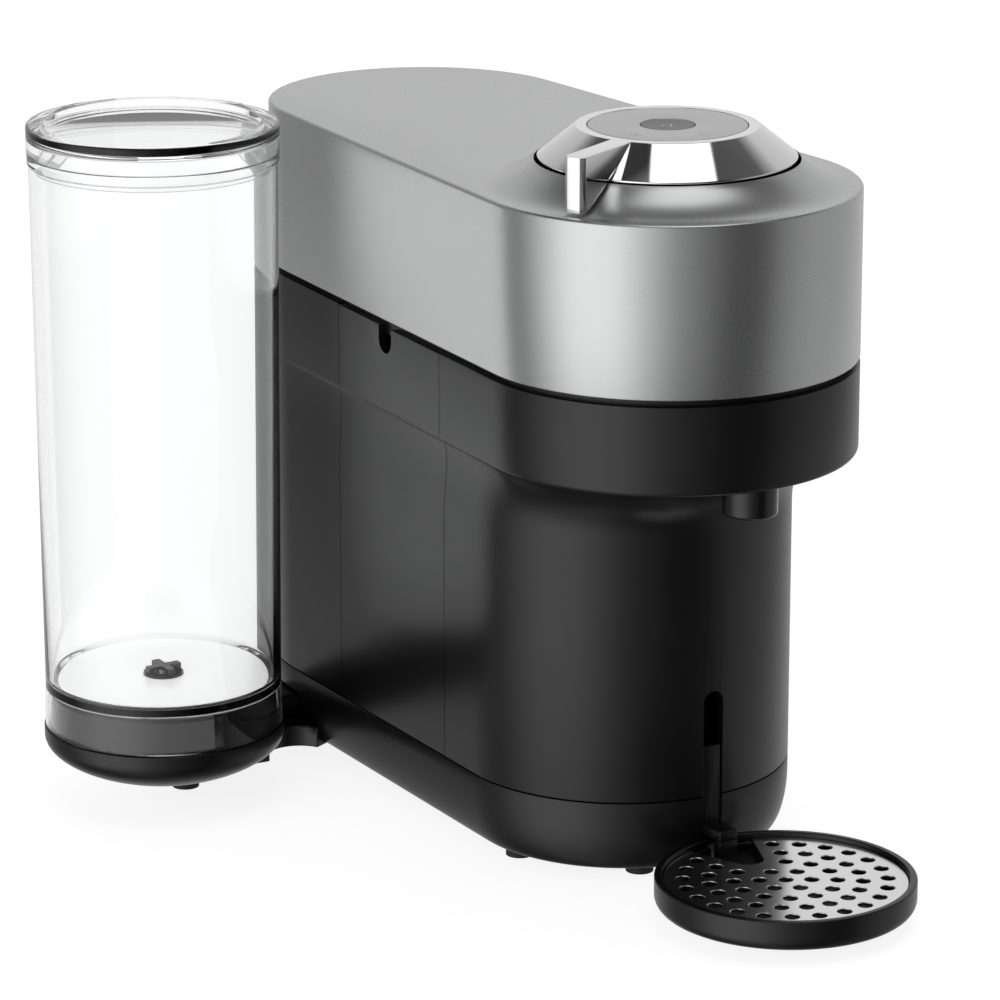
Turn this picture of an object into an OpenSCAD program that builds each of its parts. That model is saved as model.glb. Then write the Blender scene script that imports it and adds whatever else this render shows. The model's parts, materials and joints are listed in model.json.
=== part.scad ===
// Pod coffee machine: round-fronted head on a column, separate water tank on an arm, drip tray in front.
// x = 0 is the middle plane, y = 0 the lid's axis, z = 0 the table, and the front looks along -y.

/* [Head and body] */
// Radius of the head's round front end
head_r = 68; // [67:0.5:69]
// Radius of the machine's round rear end
tail_r = 57.6; // [57:0.1:58.2]
// Distance from the lid's axis to the centre of the rear end
tail_y = 168.4; // [168:0.1:170]
// Radius of the column below the head
column_r = 60.5; // [60:0.1:60.8]
// Distance from the lid's axis to the centre of the column's round front
column_y = 27.2; // [27:0.1:27.4]
// Top of the upper shell above the table
shell_top = 245.8; // [245.5:0.1:246]
// Lower edge of the upper shell
shell_bottom = 185.3; // [185:0.1:185.6]
// Top edge of the black body under the shadow gap
body_top = 183; // [182.8:0.1:183.2]
// Lower edge of the head's overhang
head_bottom = 151; // [150:0.5:152]
// Height of the seam round the base
seam_z = 30.6; // [30.4:0.1:31]
// Wall thickness of the moulded shells
wall = 2.5; // [2.4:0.1:2.6]

/* [Lid] */
// Top of the lid and of its lever
lid_top = 266; // [265.8:0.1:266.2]
// Height of the seam between the lid and the shell
lid_seam = 254.7; // [254.6:0.1:254.8]
// Radius of the lid at its seam
lid_r = 45.2; // [45:0.1:45.3]
// Radius of the satin disc on top
disc_r = 27.8; // [27.6:0.1:28]
// Radius of the brew button
button_r = 9.4; // [9.2:0.1:9.6]
// Direction of the lever at rest, anticlockwise from +x
lever_angle = -153; // [-155:1:-150]
// Radius that the lever's end reaches
lever_reach = 63; // [62:0.5:63.5]
// Width of the lever
lever_w = 8; // [7:0.5:9]

/* [Tank] */
// Tank axis, sideways
tank_x = -123.6; // [-124:0.1:-123]
// Tank axis, front to back
tank_y = 148; // [147.5:0.1:148.5]
// Radius of the tank's lid
tank_r = 45.5; // [45.3:0.1:45.7]
// Top of the tank's lid
tank_top = 253.5; // [253:0.5:255]
// Top of the black bowl under the tank
bowl_top = 28; // [27.8:0.1:28.2]

/* [Drip tray] */
// Tray axis, front to back
tray_y = -79.5; // [-80:0.1:-79.4]
// Outer radius of the tray
tray_r = 45.6; // [45.4:0.1:45.7]
// Top of the tray's rim
tray_top = 15.7; // [15.5:0.1:16]

/* [Hidden] */

$fn = 96;
plan_steps = 30;                 // straight pieces in each round end of a lofted ring
fit_gap = 0.3;                   // play between neighbouring mouldings
run_gap = 0.06;                  // radial play of a running shaft
through = 1;                     // how far a cutter passes the face that it opens

// The part's origin is the middle of its footprint
centre_x = (tank_x - tank_r + head_r) / 2;
centre_y = (tray_y - tray_r + tail_y + tail_r) / 2;

lift_z = 4;                      // underside of the base above the table
round_top = 25;                  // where the base's lower rounding starts
round_in = 7;                    // how far that rounding comes in
blend_low = 127;                 // where the column starts to swell into the head
blend_in = 2;                    // rounding of the head's lower edge
band_low = head_bottom + blend_in;
column_front = column_y - column_r;

panel_front = [51, 45];          // front seam of the container's panel, on the column and on the head
panel_rear = [130, 126.5];       // its rear seam, likewise
panel_mid = (panel_front[0] + panel_rear[0]) / 2 - 2.5;
notch_w = 10;
notch_deep = 10;

slot_half = 4;                   // half width of the tray's slot in the column
slot_top = 69.4;
stem_top = 49;
stem_half = 3.7;

open_r = 46.2;                   // mouth of the upper shell under the lid
flare_r = 65;                    // where the mouth's flare meets the flat top
hinge_y = 60;
hinge_z = 236;
pin_r = 2;

plug_low = 225;                  // underside of the lid's plug
chamber_top = 220;
chamber_low = 172;
holder_r = 31;
shaft_r = 3;
clamp_shaft_r = 4;

spout_y = -54;
spout_r = 9.7;
spout_low = 139.6;

dock_r = 40.8;                   // boss that the tank sits over
dock_top = 41.4;
tank_floor = 42.6;
tank_wall = 2.2;
tank_shoulder = 239.7;
tank_rim = 243;

deck_z = 186;
deck_t = 3;

// Moves the machine's own axes to the part's origin
module placed() {
    translate([-centre_x, -centre_y, 0]) children();
}

// Outline wrapped round two circles on the middle plane, with true arcs; the straight sides
// run just inside the arcs, so that they cross and don't only touch
module plan(r1, y1, r2, y2 = tail_y) {
    lean = asin((r1 - r2) / (y2 - y1));
    tuck = 0.01;
    a = [(r1 - tuck) * cos(lean), y1 + (r1 - tuck) * sin(lean)];
    b = [(r2 - tuck) * cos(lean), y2 + (r2 - tuck) * sin(lean)];
    translate([0, y1]) circle(r1);
    translate([0, y2]) circle(r2);
    polygon([a, b, [-b.x, b.y], [-a.x, a.y]]);
}

module head_plan(inset = 0) {
    plan(head_r - inset, 0, tail_r - inset);
}

module column_plan(inset = 0) {
    plan(column_r - inset, column_y, tail_r - inset);
}

// A slab between two heights
module slab(low, high) {
    translate([0, 0, low]) linear_extrude(high - low) children();
}

module block(low, high) {
    translate(low) cube(high - low);
}

module ring(outer, inner, low, high) {
    slab(low, high) difference() {
        circle(outer);
        circle(inner);
    }
}

// The same outline as points, anticlockwise, for lofting
function plan_points(r1, y1, r2) =
    let (lean = asin((r1 - r2) / (tail_y - y1)),
        front_step = (180 + 2 * lean) / plan_steps,
        rear_step = (180 - 2 * lean) / plan_steps)
    concat(
        [for (i = [0:plan_steps]) let (t = 180 - lean + i * front_step)
            [r1 * cos(t), y1 + r1 * sin(t)]],
        [for (i = [0:plan_steps]) let (t = lean + i * rear_step)
            [r2 * cos(t), tail_y + r2 * sin(t)]]);

// Closed skin over rings of equal length, lowest ring first
module skin(points, count) {
    rings = len(points) / count;
    last = (rings - 1) * count;
    sides = [for (k = [0:rings - 2]) for (i = [0:count - 1])
        let (j = (i + 1) % count, a = k * count, b = a + count)
        each [[a + i, b + i, b + j], [a + i, b + j, a + j]]];
    caps = [[for (i = [0:count - 1]) i], [for (i = [count - 1:-1:0]) last + i]];
    polyhedron(points, concat(caps, sides));
}

// Loft through rings given as [height, front radius, front centre, rear radius]
module loft(rings) {
    skin([for (k = rings) for (p = plan_points(k[1], k[2], k[3])) [p.x, p.y, k[0]]],
        2 * (plan_steps + 1));
}

// Rings where the column curves out under the head; `in` thins the solid for the hollow inside.
// The end rings reach a little way into the straight parts, just under their surface.
function blend_rings(in) =
    let (under = in + 0.05,
        rings = [for (i = [0:6]) let (t = i * 15, out = 1 - cos(t))
            [blend_low + in + (head_bottom - blend_low) * sin(t),
                column_r - under + (head_r - blend_in - column_r) * out, column_y * (1 - out),
                tail_r - under]])
    concat([[rings[0][0] - 0.5, rings[0][1], rings[0][2], rings[0][3]]], rings,
        [for (up = [0, 0.5]) [band_low + in + up, head_r - under, 0, tail_r - under]]);

function base_rings() =
    let (rings = [for (i = [5:-1:0]) let (t = i * 18, in = round_in * (1 - cos(t)) + 0.05)
        [round_top - (round_top - lift_z) * sin(t), column_r - in, column_y, tail_r - in]])
    concat(rings, [[round_top + 0.5, rings[5][1], column_y, rings[5][3]]]);

module body_outside() {
    slab(seam_z + 0.2, blend_low) column_plan();
    loft(blend_rings(0));
    slab(band_low, body_top) head_plan();
}

module body_inside() {
    slab(seam_z - through, blend_low + wall) column_plan(wall);
    loft(blend_rings(wall));
    slab(band_low + wall, body_top + through) head_plan(wall);
}

// Straight-sided region of the container's panel, seen from the left
module panel_region(gap = 0) {
    heights = [seam_z + 0.2, blend_low - 5, head_bottom + 5, body_top];
    translate([-head_r - 20, 0, 0]) rotate([90, 0, 90]) linear_extrude(head_r - 10)
        polygon([
            [panel_front[0] + gap, heights[0] - through], [panel_rear[0] - gap, heights[0] - through],
            [panel_rear[0] - gap, heights[1]], [panel_rear[1] - gap, heights[2]],
            [panel_rear[1] - gap, heights[3] + through], [panel_front[1] + gap, heights[3] + through],
            [panel_front[1] + gap, heights[2]], [panel_front[0] + gap, heights[1]]]);
}

module stem_slot() {
    block([-slot_half, column_front - 5, 12], [slot_half, column_front + 8, slot_top - slot_half]);
    translate([0, column_front - 5, slot_top - slot_half]) rotate([-90, 0, 0])
        cylinder(r = slot_half, h = 13);
}

// Hose with slightly swollen corners along a list of points
module pipe(route, r) {
    for (i = [0:len(route) - 2]) {
        a = route[i];
        d = route[i + 1] - a;
        if (i > 0) translate(a) sphere(r + 0.4);
        translate(a) rotate([0, acos(d.z / norm(d)), atan2(d.y, d.x)]) cylinder(r = r, h = norm(d));
    }
}

// Coil spring standing between two heights
module coil(r, wire, turns, low, high) {
    steps = turns * 12;
    sides = 6;
    rise = (high - low - 2 * wire) / steps;
    skin([for (i = [0:steps]) for (k = [0:sides - 1])
        let (t = i * 30, a = -k * 360 / sides, at = r + wire * cos(a))
        [at * cos(t), at * sin(t), low + wire + i * rise + wire * sin(a)]], sides);
}

module upper_shell() {
    rise = lid_seam - 0.2 - shell_top;
    curve = [for (i = [0:6]) let (u = i / 6)
        [flare_r - (flare_r - open_r) * u, shell_top + rise * pow(u, 1.8)]];
    color("gray") difference() {
        union() {
            slab(shell_bottom, shell_top) head_plan();
            rotate_extrude() polygon(concat(curve, [[open_r, shell_top - 4], [flare_r, shell_top - 4]]));
        }
        slab(shell_bottom - through, shell_top - wall) head_plan(wall);
        slab(shell_top - wall - through, lid_top) circle(open_r);
        rotate_extrude() polygon([[open_r - through, shell_top - wall - through],
            [flare_r - 3, shell_top - wall - through], [flare_r - 3, shell_top - wall],
            [open_r + 4, shell_top + 3], [open_r - through, lid_seam - 2.6]]);
    }
}

// Black rim that joins the upper shell to the body and shows in the shadow gap
module upper_frame() {
    color("#101010") slab(body_top - 4, shell_bottom + 5) difference() {
        head_plan(wall + fit_gap);
        head_plan(2 * wall + fit_gap);
    }
}

module body_shell() {
    color("#202020") difference() {
        body_outside();
        body_inside();
        panel_region();
        stem_slot();
        translate([0, spout_y, spout_low]) cylinder(r = spout_r + 0.5, h = 20);
    }
}

// Half section of a dished bowl, from the middle of its underside to its widest place
function dish(r, low, high) = [for (i = [0:12]) let (t = i * 7.5)
    [r * pow(sin(t), 1.5), high - (high - low) * cos(t)]];

module bowl_outside() {
    translate([tank_x, tank_y, 0]) rotate_extrude()
        polygon(concat(dish(bowl_r, bowl_low, round_top - 1), [[bowl_r, bowl_top], [0, bowl_top]]));
}

module bowl_inside() {
    inner = 41.7;
    high = round_top + 1.5;
    translate([tank_x, tank_y, 0]) rotate_extrude()
        polygon(concat(dish(inner, bowl_low + wall, high), [[inner, bowl_top + through], [0, bowl_top + through]]));
}

// Centre of a circle of radius r that touches two circles from outside, on the left of the line a to b
function fillet_centre(a, ra, b, rb, r) =
    let (d = norm(b - a), u = (b - a) / d,
        along = (pow(ra + r, 2) - pow(rb + r, 2) + d * d) / (2 * d),
        off = sqrt(pow(ra + r, 2) - along * along))
    a + along * u + off * [-u.y, u.x];

bowl_r = 44.3;
bowl_low = 5.2;
waist = [-68.7, 145];            // centre of the arm's front hollow
waist_r = 12;
rear_waist_r = 40;
rear_waist = fillet_centre([tank_x, tank_y], bowl_r, [0, tail_y], tail_r, rear_waist_r);

// Web between the bowl and the body, hollowed on both sides
module arm_outside() {
    slab(lift_z, 12) difference() {
        polygon([[tank_x, tank_y], waist, [-20, tail_y], rear_waist]);
        translate(waist) circle(waist_r);
        translate(rear_waist) circle(rear_waist_r);
    }
}

duct = [166, 182];               // water duct along the arm, front and rear face
cord_x = 16;                     // mains-lead inlet in the rear wall
cord_z = 16;

module base_shell() {
    color("#1c1c1c") difference() {
        union() {
            loft(base_rings());
            slab(round_top, seam_z - 0.2) column_plan();
            slab(seam_z - 1, seam_z + 3) column_plan(wall + fit_gap);
            bowl_outside();
            arm_outside();
            translate([tank_foot.x, tank_foot.y, 0]) slab(lift_z, bowl_low + 2) circle(6);
        }
        slab(lift_z - through, 16) column_plan(round_in + 2);
        slab(14, seam_z + 4) column_plan(2 * wall);
        bowl_inside();
        stem_slot();
        block([-slot_half - 5, column_front + wall, 18], [slot_half + 5, column_front + 8, seam_z + 5]);
        block([-91, duct[0] - fit_gap, 12], [-40, duct[1] + fit_gap, 22]);
        translate([cord_x, tail_y + tail_r - 18, cord_z]) rotate([-90, 0, 0]) {
            cylinder(r = 6.5, h = 24);
            cylinder(r = 9, h = 6.6);
        }
    }
}

module base_plate() {
    color("#181818") difference() {
        slab(lift_z + 0.2, lift_z + 2.6) column_plan(round_in + 2 + fit_gap);
        for (p = foot_places) translate([p.x, p.y, 0]) cylinder(r = 2, h = 10);
        for (p = screw_places) translate([p.x, p.y, 0]) cylinder(r = 1.6, h = 10);
        for (i = [-3:3]) block([i * 8 - 1.5, 60, 3], [i * 8 + 1.5, 90, 8]);
    }
}

foot_places = [[-46, 22], [46, 22], [-42, 182], [42, 182], [-18, -14], [18, -14]];
tank_foot = [-115, 148.5];
screw_places = [[-30, 30], [30, 30], [-30, 190], [30, 190], [0, 140]];

// Rubber feet, each with a pip pressed into the plate; one more stands under the bowl
module rubber_feet() {
    color("#0c0c0c") {
        for (p = foot_places) translate([p.x, p.y, 0]) {
            cylinder(r = 5, h = lift_z + 0.2);
            cylinder(r = 2, h = lift_z + 3);
        }
        translate([tank_foot.x, tank_foot.y, 0]) cylinder(r = 5, h = lift_z);
    }
}

module case_screws() {
    color("silver") for (p = screw_places) translate([p.x, p.y, lift_z + 2.6]) {
        cylinder(r = 3, h = 1.6);
        translate([0, 0, -2.4]) cylinder(r = 1.5, h = 2.6);
    }
}

// Glossy boss in the bowl that the tank's skirt fits over
module dock_cover() {
    color("#303030") translate([tank_x, tank_y, 0]) difference() {
        union() {
            slab(24.6, dock_top) circle(dock_r);
            slab(26, bowl_top) circle(41.4);
        }
        slab(21, dock_top - 2.4) circle(dock_r - 2.4);
        slab(30, 50) circle(5);
    }
}

// Closed duct for the water pipe along the arm
module arm_duct() {
    color("#262626") difference() {
        block([-90, duct[0], 12.2], [-52, duct[1], 21]);
        block([-91, duct[0] + 2.2, 13.2], [-51, duct[1] - 2.2, 18.6]);
    }
}

// Upright tube that opens the tank's valve and drinks from it
module dock_spigot() {
    color("#505050") translate([tank_x, tank_y, 0]) difference() {
        union() {
            cylinder(r = 4.7, h = 12);
            slab(12, 44) circle(4.7);
            slab(36, dock_top - 2.5) circle(8);
        }
        translate([0, 0, -1]) cylinder(r = 2.6, h = 50);
        slab(-1, 30) circle(6);
    }
}

// Drawer for used pods: its outer wall is the machine's left side panel
module pod_container() {
    color("#242424") difference() {
        union() {
            intersection() {
                difference() {
                    body_outside();
                    body_inside();
                }
                panel_region(fit_gap);
                slab(seam_z + 0.6, body_top - 0.2) translate([-head_r - 5, 0]) square([head_r, 200]);
            }
            block([-57.6, 54, 34], [16, 125, 150]);
        }
        block([-55.2, 56, 36.4], [14, 123, 151]);
        translate([-head_r, panel_mid, body_top - notch_deep + notch_w / 2]) rotate([0, 90, 0])
            cylinder(r = notch_w / 2, h = 20);
        block([-head_r - 1, panel_mid - notch_w / 2, body_top - notch_deep + notch_w / 2],
            [-40, panel_mid + notch_w / 2, body_top + 1]);
    }
}

module chassis_deck() {
    color("#3a3a3a") difference() {
        slab(deck_z, deck_z + deck_t) head_plan(2 * wall + 2 * fit_gap);
        translate([0, 0, deck_z - 1]) cylinder(r = 44, h = 10);
        block([-44, 68, deck_z - 1], [12, 116, deck_z + 10]);
        translate([44, 76, deck_z - 1]) cylinder(r = 5, h = 10);
    }
}

// Upright web behind the container and beside it
module chassis_bulkhead() {
    color("#3a3a3a") {
        block([-54.5, 131, 34], [54.5, 133.5, deck_z]);
        block([18, 53, 34], [20.5, 131, 150]);
    }
}

module hinge_bracket() {
    color("#484848") difference() {
        union() {
            block([-14, hinge_y - 5, deck_z + deck_t], [14, hinge_y + 3.5, 214]);
            for (side = [-1, 1]) translate([side * 9, 0, 0]) {
                block([-3.5, hinge_y - 3.5, 213], [3.5, hinge_y + 3.5, hinge_z]);
                translate([-3.5, hinge_y, hinge_z]) rotate([0, 90, 0]) cylinder(r = 3.5, h = 7);
            }
        }
        translate([-20, hinge_y, hinge_z]) rotate([0, 90, 0]) cylinder(r = pin_r, h = 40);
        block([-10, hinge_y - 2.5, deck_z], [10, hinge_y + 1, 210]);
    }
}

module hinge_pin() {
    color("silver") translate([-12.5, hinge_y, hinge_z]) rotate([0, 90, 0]) cylinder(r = pin_r, h = 25);
}

// Black inner lid: plug, gooseneck to the hinge and the tube that the lever ring turns on.
// The plug's flank keeps clear of the shell's mouth while the lid swings round the hinge.
module lid_cap() {
    plate = lid_seam - 0.3;
    color("#1a1a1a") difference() {
        union() {
            rotate_extrude() difference() {
                polygon([[0, plate], [44.4, plate], [43.4, plate - 1.3], [40, 250], [37.6, 246],
                    [35.8, 241], [35.4, plug_low], [0, plug_low]]);
                polygon([[12, 252], [38.6, 252], [37.8, 250.4], [35.2, 246], [33.4, 241],
                    [33, plug_low + wall], [12, plug_low + wall]]);
            }
            ring(29.4, 27, plate - 0.1, 263.4);
            hinge_arm();
        }
        cylinder(r = 8, h = 233);
        slab(232, 237.5) circle(clamp_shaft_r + 1);
        slab(237, 252.2) circle(9.5);
    }
}

// Gooseneck that passes under the mouth's lip when the lid is open
module hinge_arm() {
    half = 4;
    rotate([90, 0, 90]) translate([0, 0, -half]) linear_extrude(2 * half) difference() {
        union() {
            polygon([[34, 229], [34, plug_low + 0.1], [35.6, plug_low + 0.1], [35.6, 223.8], [47, 219.6],
                [52, 220.6], [hinge_y + 2.6, hinge_z - 1.2], [hinge_y - 2.8, hinge_z + 1.2],
                [48.4, 225.4], [38, 227.4]]);
            translate([hinge_y, hinge_z]) circle(3.4);
        }
        translate([hinge_y, hinge_z]) circle(pin_r + run_gap);
    }
}

module lid_disc() {
    color("#b8b8b8") difference() {
        union() {
            slab(263.4, lid_top) circle(disc_r);
            slab(258, 263.4) circle(26.8);
        }
        slab(257, 264.2) circle(25);
        slab(257, 268) circle(button_r + 0.25);
    }
}

// Small board with the button's switch and lamps
module lid_board() {
    color("darkgreen") {
        slab(lid_seam - 0.3, 256) circle(22);
        slab(256, 257) circle(3);
    }
}

module lid_seal() {
    color("#404040") ring(35.2, 33, chamber_top, plug_low);
}

module clamp_bearing() {
    color("silver") ring(8, clamp_shaft_r + 0.05, plug_low, 232);
}

// Chrome cone, flat rim and lever in one piece, turning on the lid
module lever_ring() {
    cone_top_r = 32;
    color("lightgray") difference() {
        union() {
            rotate_extrude() polygon([[lid_r, lid_seam], [lid_r, lid_seam + 0.6], [cone_top_r, lid_top],
                [disc_r + 0.25, lid_top], [disc_r + 0.25, lid_top - 1.6], [29.6, lid_top - 1.6],
                [29.6, lid_seam + 2.6], [31.4, lid_seam + 2.6], [31.4, 262.8], [41.5, lid_seam + 1.2],
                [41.5, lid_seam]]);
            rotate([0, 0, lever_angle]) lever_blade();
        }
    }
}

module lever_blade() {
    chamfer = 1.6;
    half = lever_w / 2;
    intersection() {
        slab(lid_seam - 12, lid_top) polygon([[31, -half], [lever_reach - chamfer, -half],
            [lever_reach, -half + chamfer], [lever_reach, half - chamfer],
            [lever_reach - chamfer, half], [31, half]]);
        rotate([90, 0, 0]) translate([0, 0, -half]) linear_extrude(lever_w) polygon([
            [31, lid_top], [lever_reach, lid_top], [lever_reach, 246.8], [62, 246.8],
            [58, 248.4], [54, 250.4], [50, 253], [47, 255.2], [44, 256.2], [33, 263.2]]);
    }
}

module brew_button() {
    color("#555555") {
        slab(264.4, lid_top - 0.1) circle(button_r);
        slab(258.4, 264.4) circle(3);
    }
}

module button_spring() {
    color("silver") coil(4.6, 0.35, 4, 257.2, 264.2);
}

// Disc that grips the pod, with the water needle below it and its shaft above
module pod_clamp() {
    color("#5a5a5a") {
        slab(216, 221) circle(30);
        ring(30, 27.5, 213.4, 216);
        slab(221, 238) circle(clamp_shaft_r);
        ring(6.5, 0, 221, plug_low - 0.4);
        slab(238, 240) circle(7);
        slab(208, 216) circle(1.2);
    }
}

// Fixed chamber that the holder spins in and that catches the coffee
module brew_chamber() {
    outer = 43.5;
    inner = outer - wall;
    color("#2c2c2c") difference() {
        union() {
            slab(chamber_low, chamber_top) circle(outer);
            slab(deck_z + deck_t, deck_z + deck_t + 2.5) circle(outer + 6);
        }
        slab(chamber_low + wall, chamber_top - 3) circle(inner);
        slab(chamber_top - 4, chamber_top + 1) circle(32.5);
        slab(chamber_low - 1, chamber_low + 4) circle(8);
        translate([0, -36, chamber_low - 1]) cylinder(r = 3, h = 5);
    }
}

module holder_bearing() {
    color("silver") ring(8, shaft_r + 0.05, chamber_low, chamber_low + 5);
}

// Spinning cup for the pod
module pod_holder() {
    color("#8a8a8a") difference() {
        rotate_extrude() polygon([[0, 178], [20, 178], [28, 186], [29.5, 208], [holder_r, 209],
            [holder_r, 212], [27.2, 212], [26, 188], [18.5, 180.5], [0, 180.5]]);
        slab(177, 180) circle(shaft_r);
    }
}

module motor_stator() {
    color("#6a6a6a") difference() {
        union() {
            slab(156, 168) circle(24);
            slab(168, chamber_low) circle(12);
        }
        slab(158, 166) circle(14);
        slab(150, 175) circle(shaft_r + 0.6);
        slab(166, 175) circle(8.4);
    }
}

module motor_rotor() {
    color("silver") {
        slab(157, 180) circle(shaft_r);
        slab(159, 165) circle(13.4);
    }
}

// Closed channel from the chamber's drain forward to the spout
module outlet_duct() {
    color("#2a2a2a") difference() {
        block([-6, spout_y - 7, 158.4], [6, -31, chamber_low]);
        block([-3.5, spout_y - 4, 161], [3.5, -33, 169.4]);
        translate([0, -36, 165]) cylinder(r = 2.8, h = 10);
        translate([0, spout_y, 155]) cylinder(r = 3.2, h = 10);
    }
}

module outlet_spout() {
    color("#383838") translate([0, spout_y, 0]) difference() {
        union() {
            slab(spout_low, 158.2) circle(spout_r);
            slab(156.2, 158.2) circle(10.8);
        }
        slab(spout_low + 3, 160) circle(3);
        slab(spout_low - 1, spout_low + 3.1) circle(6.5);
    }
}

// Shallow round cup under the outlet
module drip_tray() {
    low = 4.4;
    edge = 4;
    curve = [for (i = [0:5]) let (t = i * 18)
        [tray_r - edge + edge * sin(t), low + edge - edge * cos(t)]];
    color("#262626") translate([0, tray_y, 0]) difference() {
        rotate_extrude() polygon(concat([[0, low]], curve, [[tray_r, tray_top - 0.5],
            [tray_r - 0.5, tray_top], [tray_r - 2.7, tray_top], [tray_r - 2.7, 13], [tray_r - 4.5, 13],
            [tray_r - 4.5, 9], [tray_r - 6, low + 2.2], [0, low + 2.2]]));
        block([-stem_half - 0.2, tray_r - 6, low + 3], [stem_half + 0.2, tray_r + 1, 20]);
    }
}

// Tongue shape of the gap in the grid, on the column's side
module tongue(inset) {
    intersection() {
        translate([0, tray_y]) circle(tray_r - 6.2 - inset);
        plan(5.5 - inset, tray_y + 23.5, 14 - inset, tray_y + 46);
    }
}

// Arm from the tray through the column's slot, with a shoe that slides behind the wall
module tray_stem() {
    front = column_front + 0.8;
    shoe = column_front + wall + 0.9;
    color("#1e1e1e") {
        block([-stem_half, front, 16.5], [stem_half, shoe, stem_top]);
        block([-8, shoe, 20], [8, shoe + 2.6, stem_top - 2]);
        block([-stem_half, tray_y + tray_r - 10, 16.5], [stem_half, front, 20.6]);
        block([-stem_half, tray_y + tray_r - 10, 9], [stem_half, tray_y + tray_r - 6, 16.5]);
        slab(6.6, 11) tongue(0.4);
    }
}

grid_rings = [[9, 6, 60], [18, 11, 29.2], [26.8, 17, 18.7], [35.6, 21, 15.35]];

// Pierced steel plate; each ring of holes is [radius, holes, step], counted from the front
module drip_grid() {
    color("silver") difference() {
        translate([0, tray_y, 13]) cylinder(r = tray_r - 3.1, h = 1);
        translate([0, tray_y, 12]) cylinder(r = 2.6, h = 3);
        for (g = grid_rings) for (i = [0:g[1] - 1])
            translate([0, tray_y, 12]) rotate([0, 0, -90 + (i - floor(g[1] / 2)) * g[2]])
                translate([g[0], 0, 0]) cylinder(r = 2.6, h = 3);
        slab(12, 15) plan(5.5, tray_y + 23.5, 14, tray_y + 46);
    }
}

pump_y = 12;
hose_r = 3.4;

module water_pump() {
    color("#7a7a78") translate([0, pump_y, 0]) {
        block([-22, -20, 66], [22, 20, 108]);
        slab(50, 66) circle(13);
        slab(108, 122) circle(11);
        slab(44, 50) circle(4);
        slab(122, 132) circle(4);
    }
}

// Rubber cradles that hold the pump at both ends
module pump_mounts() {
    color("#151515") for (z = [54, 112]) translate([0, pump_y, 0]) difference() {
        block([-30, -8, z], [30, 8, z + 6]);
        translate([0, 0, z - 1]) cylinder(r = z < 100 ? 13.1 : 11.1, h = 8);
    }
}

heater_y = 122;

module heater_block() {
    color("#9a9a98") {
        block([-40, heater_y, 192], [40, heater_y + 66, 220]);
        block([-34, heater_y + 6, 220], [34, heater_y + 60, 226]);
        for (side = [-1, 1]) {
            translate([side * 34, heater_y, 206]) rotate([90, 0, 0]) cylinder(r = 4, h = 6);
            block([side * 34 - 3, heater_y + 10, deck_z + deck_t], [side * 34 + 3, heater_y + 20, 192]);
        }
    }
}

module flow_meter() {
    color("#d8d8d0") {
        translate([-30, 160, 9]) cylinder(r = 13, h = 14);
        block([-50, 171, 12.5], [-30, 177, 18.5]);
        block([-33, 140, 12.5], [-27, 150, 18.5]);
    }
}

// Board on the web's rear face, with its transformer, relay and capacitor
module control_board() {
    color("darkgreen") {
        block([-38, 137, 60], [38, 138.6, 150]);
        block([-30, 138.6, 104], [0, 162, 130]);
        block([10, 138.6, 110], [26, 152, 126]);
        translate([-14, 138.6, 78]) rotate([-90, 0, 0]) cylinder(r = 6, h = 18);
        for (x = [-34, 34]) for (z = [66, 144])
            translate([x, 133.5, z]) rotate([-90, 0, 0]) cylinder(r = 2, h = 3.5);
    }
}

module suction_hose() {
    color("#e0e0e0") pipe([[-30, 139.8, 15.5], [-30, 60, 15.5], [0, 40, 15.5], [0, pump_y, 20],
        [0, pump_y, 43.8]], hose_r);
}

module pump_hose() {
    color("#e0e0e0") pipe([[0, pump_y, 132.2], [0, pump_y, 139], [36, 34, 142], [44, 76, 160],
        [44, 76, 200], [34, 106, 206], [34, heater_y - 6.2, 206]], hose_r);
}

module brew_hose() {
    color("#e0e0e0") pipe([[-34, heater_y - 6.2, 206], [-34, 100, 206], [-28, hinge_y + 4, 232],
        [-16.8, hinge_y, hinge_z]], hose_r);
}

// Sleeve in the base's rear wall where the mains lead comes in
module cord_gland() {
    color("#111111") translate([cord_x, tail_y + tail_r, cord_z]) rotate([90, 0, 0]) difference() {
        union() {
            translate([0, 0, 3]) cylinder(r = 6.3, h = 9);
            translate([0, 0, 12]) cylinder(r = 8.5, h = 3);
        }
        cylinder(r = 3.6, h = 20);
    }
}

module tank_body() {
    foot_r = 43.9;
    low_r = 43.5;
    top_r = 44.8;
    color("#d8ecf0", 0.35) translate([tank_x, tank_y, 0]) rotate_extrude() polygon([
        [foot_r, bowl_top + 0.3], [low_r, tank_floor + 1.4], [top_r, tank_shoulder - 0.6],
        [tank_r - 0.2, tank_shoulder], [tank_r - 0.2, tank_rim],
        [top_r - tank_wall, tank_rim], [top_r - tank_wall, tank_shoulder],
        [low_r - tank_wall, tank_floor + 4], [low_r - tank_wall - 1.5, tank_floor + 2.4],
        [6, tank_floor + 2.4], [6, tank_floor], [low_r - tank_wall + 0.3, tank_floor],
        [low_r - tank_wall + 0.3, bowl_top + 0.3]]);
}

module tank_lid() {
    color("#d8ecf0", 0.35) translate([tank_x, tank_y, 0]) rotate_extrude() polygon([
        [0, 249.4], [38.6, 249.4], [40.6, 248], [40.6, 237], [42, 237], [42, tank_rim + 0.3],
        [tank_r, tank_rim + 0.3], [tank_r, tank_top - 0.8], [tank_r - 0.8, tank_top],
        [39.6, tank_top], [38.2, 251.6], [0, 251.6]]);
}

module cross(length, width) {
    square([width, length], center = true);
    square([length, width], center = true);
}

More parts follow.
